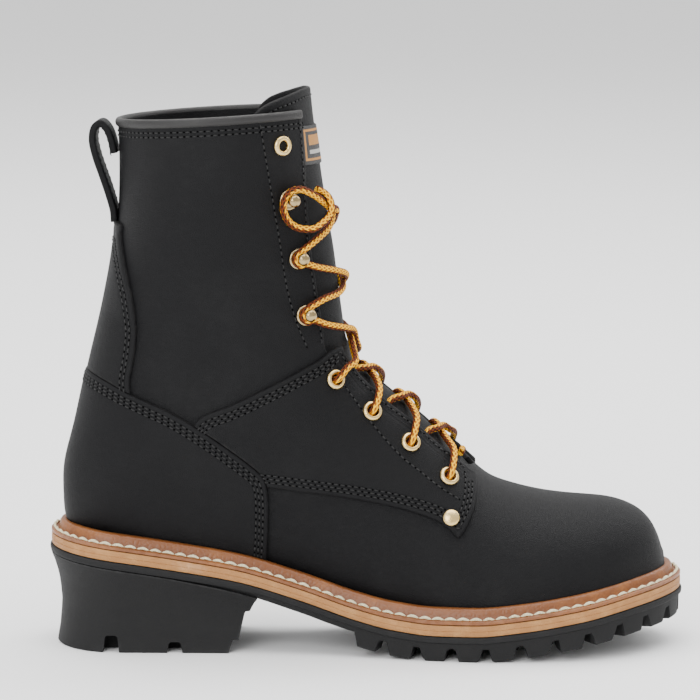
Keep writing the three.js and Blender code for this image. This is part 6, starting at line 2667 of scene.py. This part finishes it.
    def cleats(self) -> None:
        """Cross bars between the lugs, under the forefoot."""
        form = self.form
        length, inset = self.cleat_length, self.cleat_inset
        points, faces = [], []
        shares = np.linspace(-1, 1, 13)
        x = form.along(self.tread_start + 0.06)
        while x < form.sole_length / 2 - inset:
            base = sum(len(p) for p in points)
            xs = np.array([x, x + self.cleat_round, x + length - self.cleat_round, x + length])
            left = -form.sole_half(Side.LATERAL, xs + 1, inset)
            right = form.sole_half(Side.MEDIAL, xs + 1, inset)
            y = left[:, None] + (right - left)[:, None] * (0.5 + 0.5 * shares[None, :])
            gx = np.repeat(xs[:, None], len(shares), 1)
            flat = self.tread_bottom(gx.ravel()).reshape(gx.shape)
            ends = self.cleat_round * (np.array([1, 0, 0, 1])[:, None] + (np.abs(shares) == 1)[None, :])
            bar, quads = slab(np.stack([gx, y, flat + self.channel_depth + 1.0], 2),
                              np.stack([gx, y, flat + ends], 2))
            points.append(bar)
            faces += [tuple(int(v) + base for v in face) for face in quads]
            x += self.notch_pitch
        finish_piece(make_object("cleats", np.concatenate(points), faces, self.finishes.rubber), "rubber")

    def make_heel(self) -> None:
        """Heel block with waisted sides, a stepped breast and two notches in each side."""
        form = self.form
        per_side = 110
        levels = []
        for height, inset, breast in HEEL_LEVELS:
            reach = breast * form.sole_length
            share = 1 - np.cos(0.5 * math.pi * np.linspace(0, 1, per_side))
            x = inset - form.sole_length / 2 + (reach - inset) * share
            z = height * (self.web_bottom(x) - self.heel_clearance)
            lateral = np.stack([x, -form.sole_half(Side.LATERAL, x, inset), z], 1)
            medial = np.stack([x, form.sole_half(Side.MEDIAL, x, inset), z], 1)
            levels.append(np.concatenate([lateral[::-1], medial[1:]]))
        count = len(levels[0])
        faces = band_faces(len(levels), count)
        for r in (0, len(levels) - 1):
            for k in range(per_side - 1):
                a, b = r * count + k, r * count + k + 1
                c, d = r * count + count - 2 - k, r * count + count - 1 - k
                faces.append(tuple(dict.fromkeys((a, b, c, d))))
        heel = make_object("heel_block", np.concatenate(levels), faces, self.finishes.rubber,
                           self.rubber_sharp)
        self.cut_notches(heel)
        finish_piece(heel, "rubber", "heel")

    def cut_notches(self, heel: bpy.types.Object) -> None:
        """Cuts the notches into both sides of the heel.

        Args:
            heel: The heel block.
        """
        form = self.form
        for side in Side:
            for at, width, height in HEEL_NOTCHES:
                x = form.along(at)
                y = side.value * float(form.sole_half(side, x, 3.4))
                half, roof = 0.5 * width, 0.34 * width
                flank = [(half + 1, -3.0), (half, 0.5), (roof + 0.4, height - 0.8), (roof - 0.6, height)]
                outline = flank + [(-dx, z) for dx, z in reversed(flank)]
                points = np.array([(x + dx, y + dy, z) for dy in (-12.0, 12.0) for dx, z in outline])
                cutter = make_object("heel_notch", points, tube_faces(2, len(outline)), self.finishes.rubber)
                modifier = heel.modifiers.new("notch", "BOOLEAN")
                modifier.operation = "DIFFERENCE"
                modifier.solver = "EXACT"
                modifier.object = cutter
                apply_modifier(heel, modifier)
                bpy.data.objects.remove(cutter)
        heel.data.shade_smooth()
        heel.data.set_sharp_from_angle(angle=math.radians(self.rubber_sharp))

    def build(self) -> None:
        """Makes the whole bottom."""
        self.make_welt()
        self.make_midsole()
        self.make_outsole()
        self.make_heel()
        self.plate("footbed", self.footbed_inset, lambda v: self.form.sole_line(v) + self.gap,
                   lambda v: self.form.sole_line(v) + self.gap + self.footbed_thickness,
                   self.finishes.insole, "insole_leather", ("insole",), self.footbed_round)


# The set


@dataclass(frozen=True)
class Lamp:
    """Soft square light: its place and size in metres, and its power in watts."""

    name: str
    place: tuple[float, float, float]
    size: float
    power: float


LAMPS = (
    Lamp("overhead", (0.0, 0.4, 3.4), 4.0, 190.0), Lamp("key", (-1.0, -2.2, 1.3), 1.6, 44.0),
    Lamp("rim", (1.2, 0.9, 1.2), 0.8, 8.0),
)


@dataclass
class Studio:
    """Pale floor, soft lights and the photograph's camera."""

    azimuth: float = 1.0
    elevation: float = 7.6
    distance: float = 1.7
    focal_pixels: float = 3400.0
    picture: float = 700.0
    target: tuple[float, float, float] = (-0.008, 0.0, 0.147)
    floor_reach: float = 14.0
    floor_grey: float = 0.97
    world_strength: float = 1.15

    def camera(self) -> None:
        """Camera that looks at the boot's lateral side."""
        data = bpy.data.cameras.new("camera")
        data.sensor_width = 36.0
        data.lens = self.focal_pixels / self.picture * data.sensor_width
        data.clip_end = 20.0
        obj = bpy.data.objects.new("camera", data)
        a, e = math.radians(self.azimuth), math.radians(self.elevation)
        back = np.array([math.sin(a) * math.cos(e), -math.cos(a) * math.cos(e), math.sin(e)])
        obj.location = np.array(self.target) + back * self.distance
        obj.rotation_euler = (math.pi / 2 - e, 0.0, a)
        bpy.context.scene.collection.objects.link(obj)
        bpy.context.scene.camera = obj

    def light(self, lamp: Lamp) -> None:
        """Points a lamp at the boot.

        Args:
            lamp: The lamp.
        """
        data = bpy.data.lights.new(lamp.name, "AREA")
        data.size = lamp.size
        data.energy = lamp.power
        obj = bpy.data.objects.new(lamp.name, data)
        obj.location = lamp.place
        direction = np.array(self.target) - np.array(lamp.place)
        pitch = math.atan2(np.hypot(direction[0], direction[1]), -direction[2])
        obj.rotation_euler = (pitch, 0.0, math.atan2(direction[1], direction[0]) - math.pi / 2)
        bpy.context.scene.collection.objects.link(obj)

    def floor(self) -> None:
        """Plain floor that reaches far behind the boot."""
        mesh = bpy.data.meshes.new("floor")
        reach = self.floor_reach
        mesh.from_pydata([(-reach, -reach, 0), (reach, -reach, 0), (reach, reach, 0), (-reach, reach, 0)], [],
                         [(0, 1, 2, 3)])
        obj = bpy.data.objects.new("floor", mesh)
        material = bpy.data.materials.new("floor")
        material.use_nodes = True
        shader = material.node_tree.nodes["Principled BSDF"]
        shader.inputs["Base Color"].default_value = (self.floor_grey,) * 3 + (1,)
        shader.inputs["Roughness"].default_value = 0.9
        mesh.materials.append(material)
        bpy.context.scene.collection.objects.link(obj)

    def build(self) -> None:
        """Sets the floor, the world and the lights."""
        self.floor()
        world = bpy.data.worlds.new("studio")
        world.use_nodes = True
        background = world.node_tree.nodes["Background"]
        background.inputs["Color"].default_value = (1.0, 1.0, 1.0, 1)
        background.inputs["Strength"].default_value = self.world_strength
        bpy.context.scene.world = world
        for lamp in LAMPS:
            self.light(lamp)


def main() -> None:
    """Builds the studio and the boot, piece by piece."""
    logging.basicConfig(level=logging.INFO, format="%(name)s %(message)s")
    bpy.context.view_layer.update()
    studio = Studio()
    studio.camera()
    finishes = Finishes()
    scatter = Scatter("Scatter")
    form = BootForm()
    throat = Throat(form)
    laces = Laces(throat, finishes)
    laces.loop()
    laces.bar()
    laces.crossings()
    seams = Seams()
    Leather(form, finishes, seams).build()
    seams.sew(scatter, finishes.thread, finishes.hole)
    Hardware(throat, finishes, scatter).build()
    Bottom(form, finishes, scatter).build()
    studio.build()


if __name__ == "__main__":
    main()
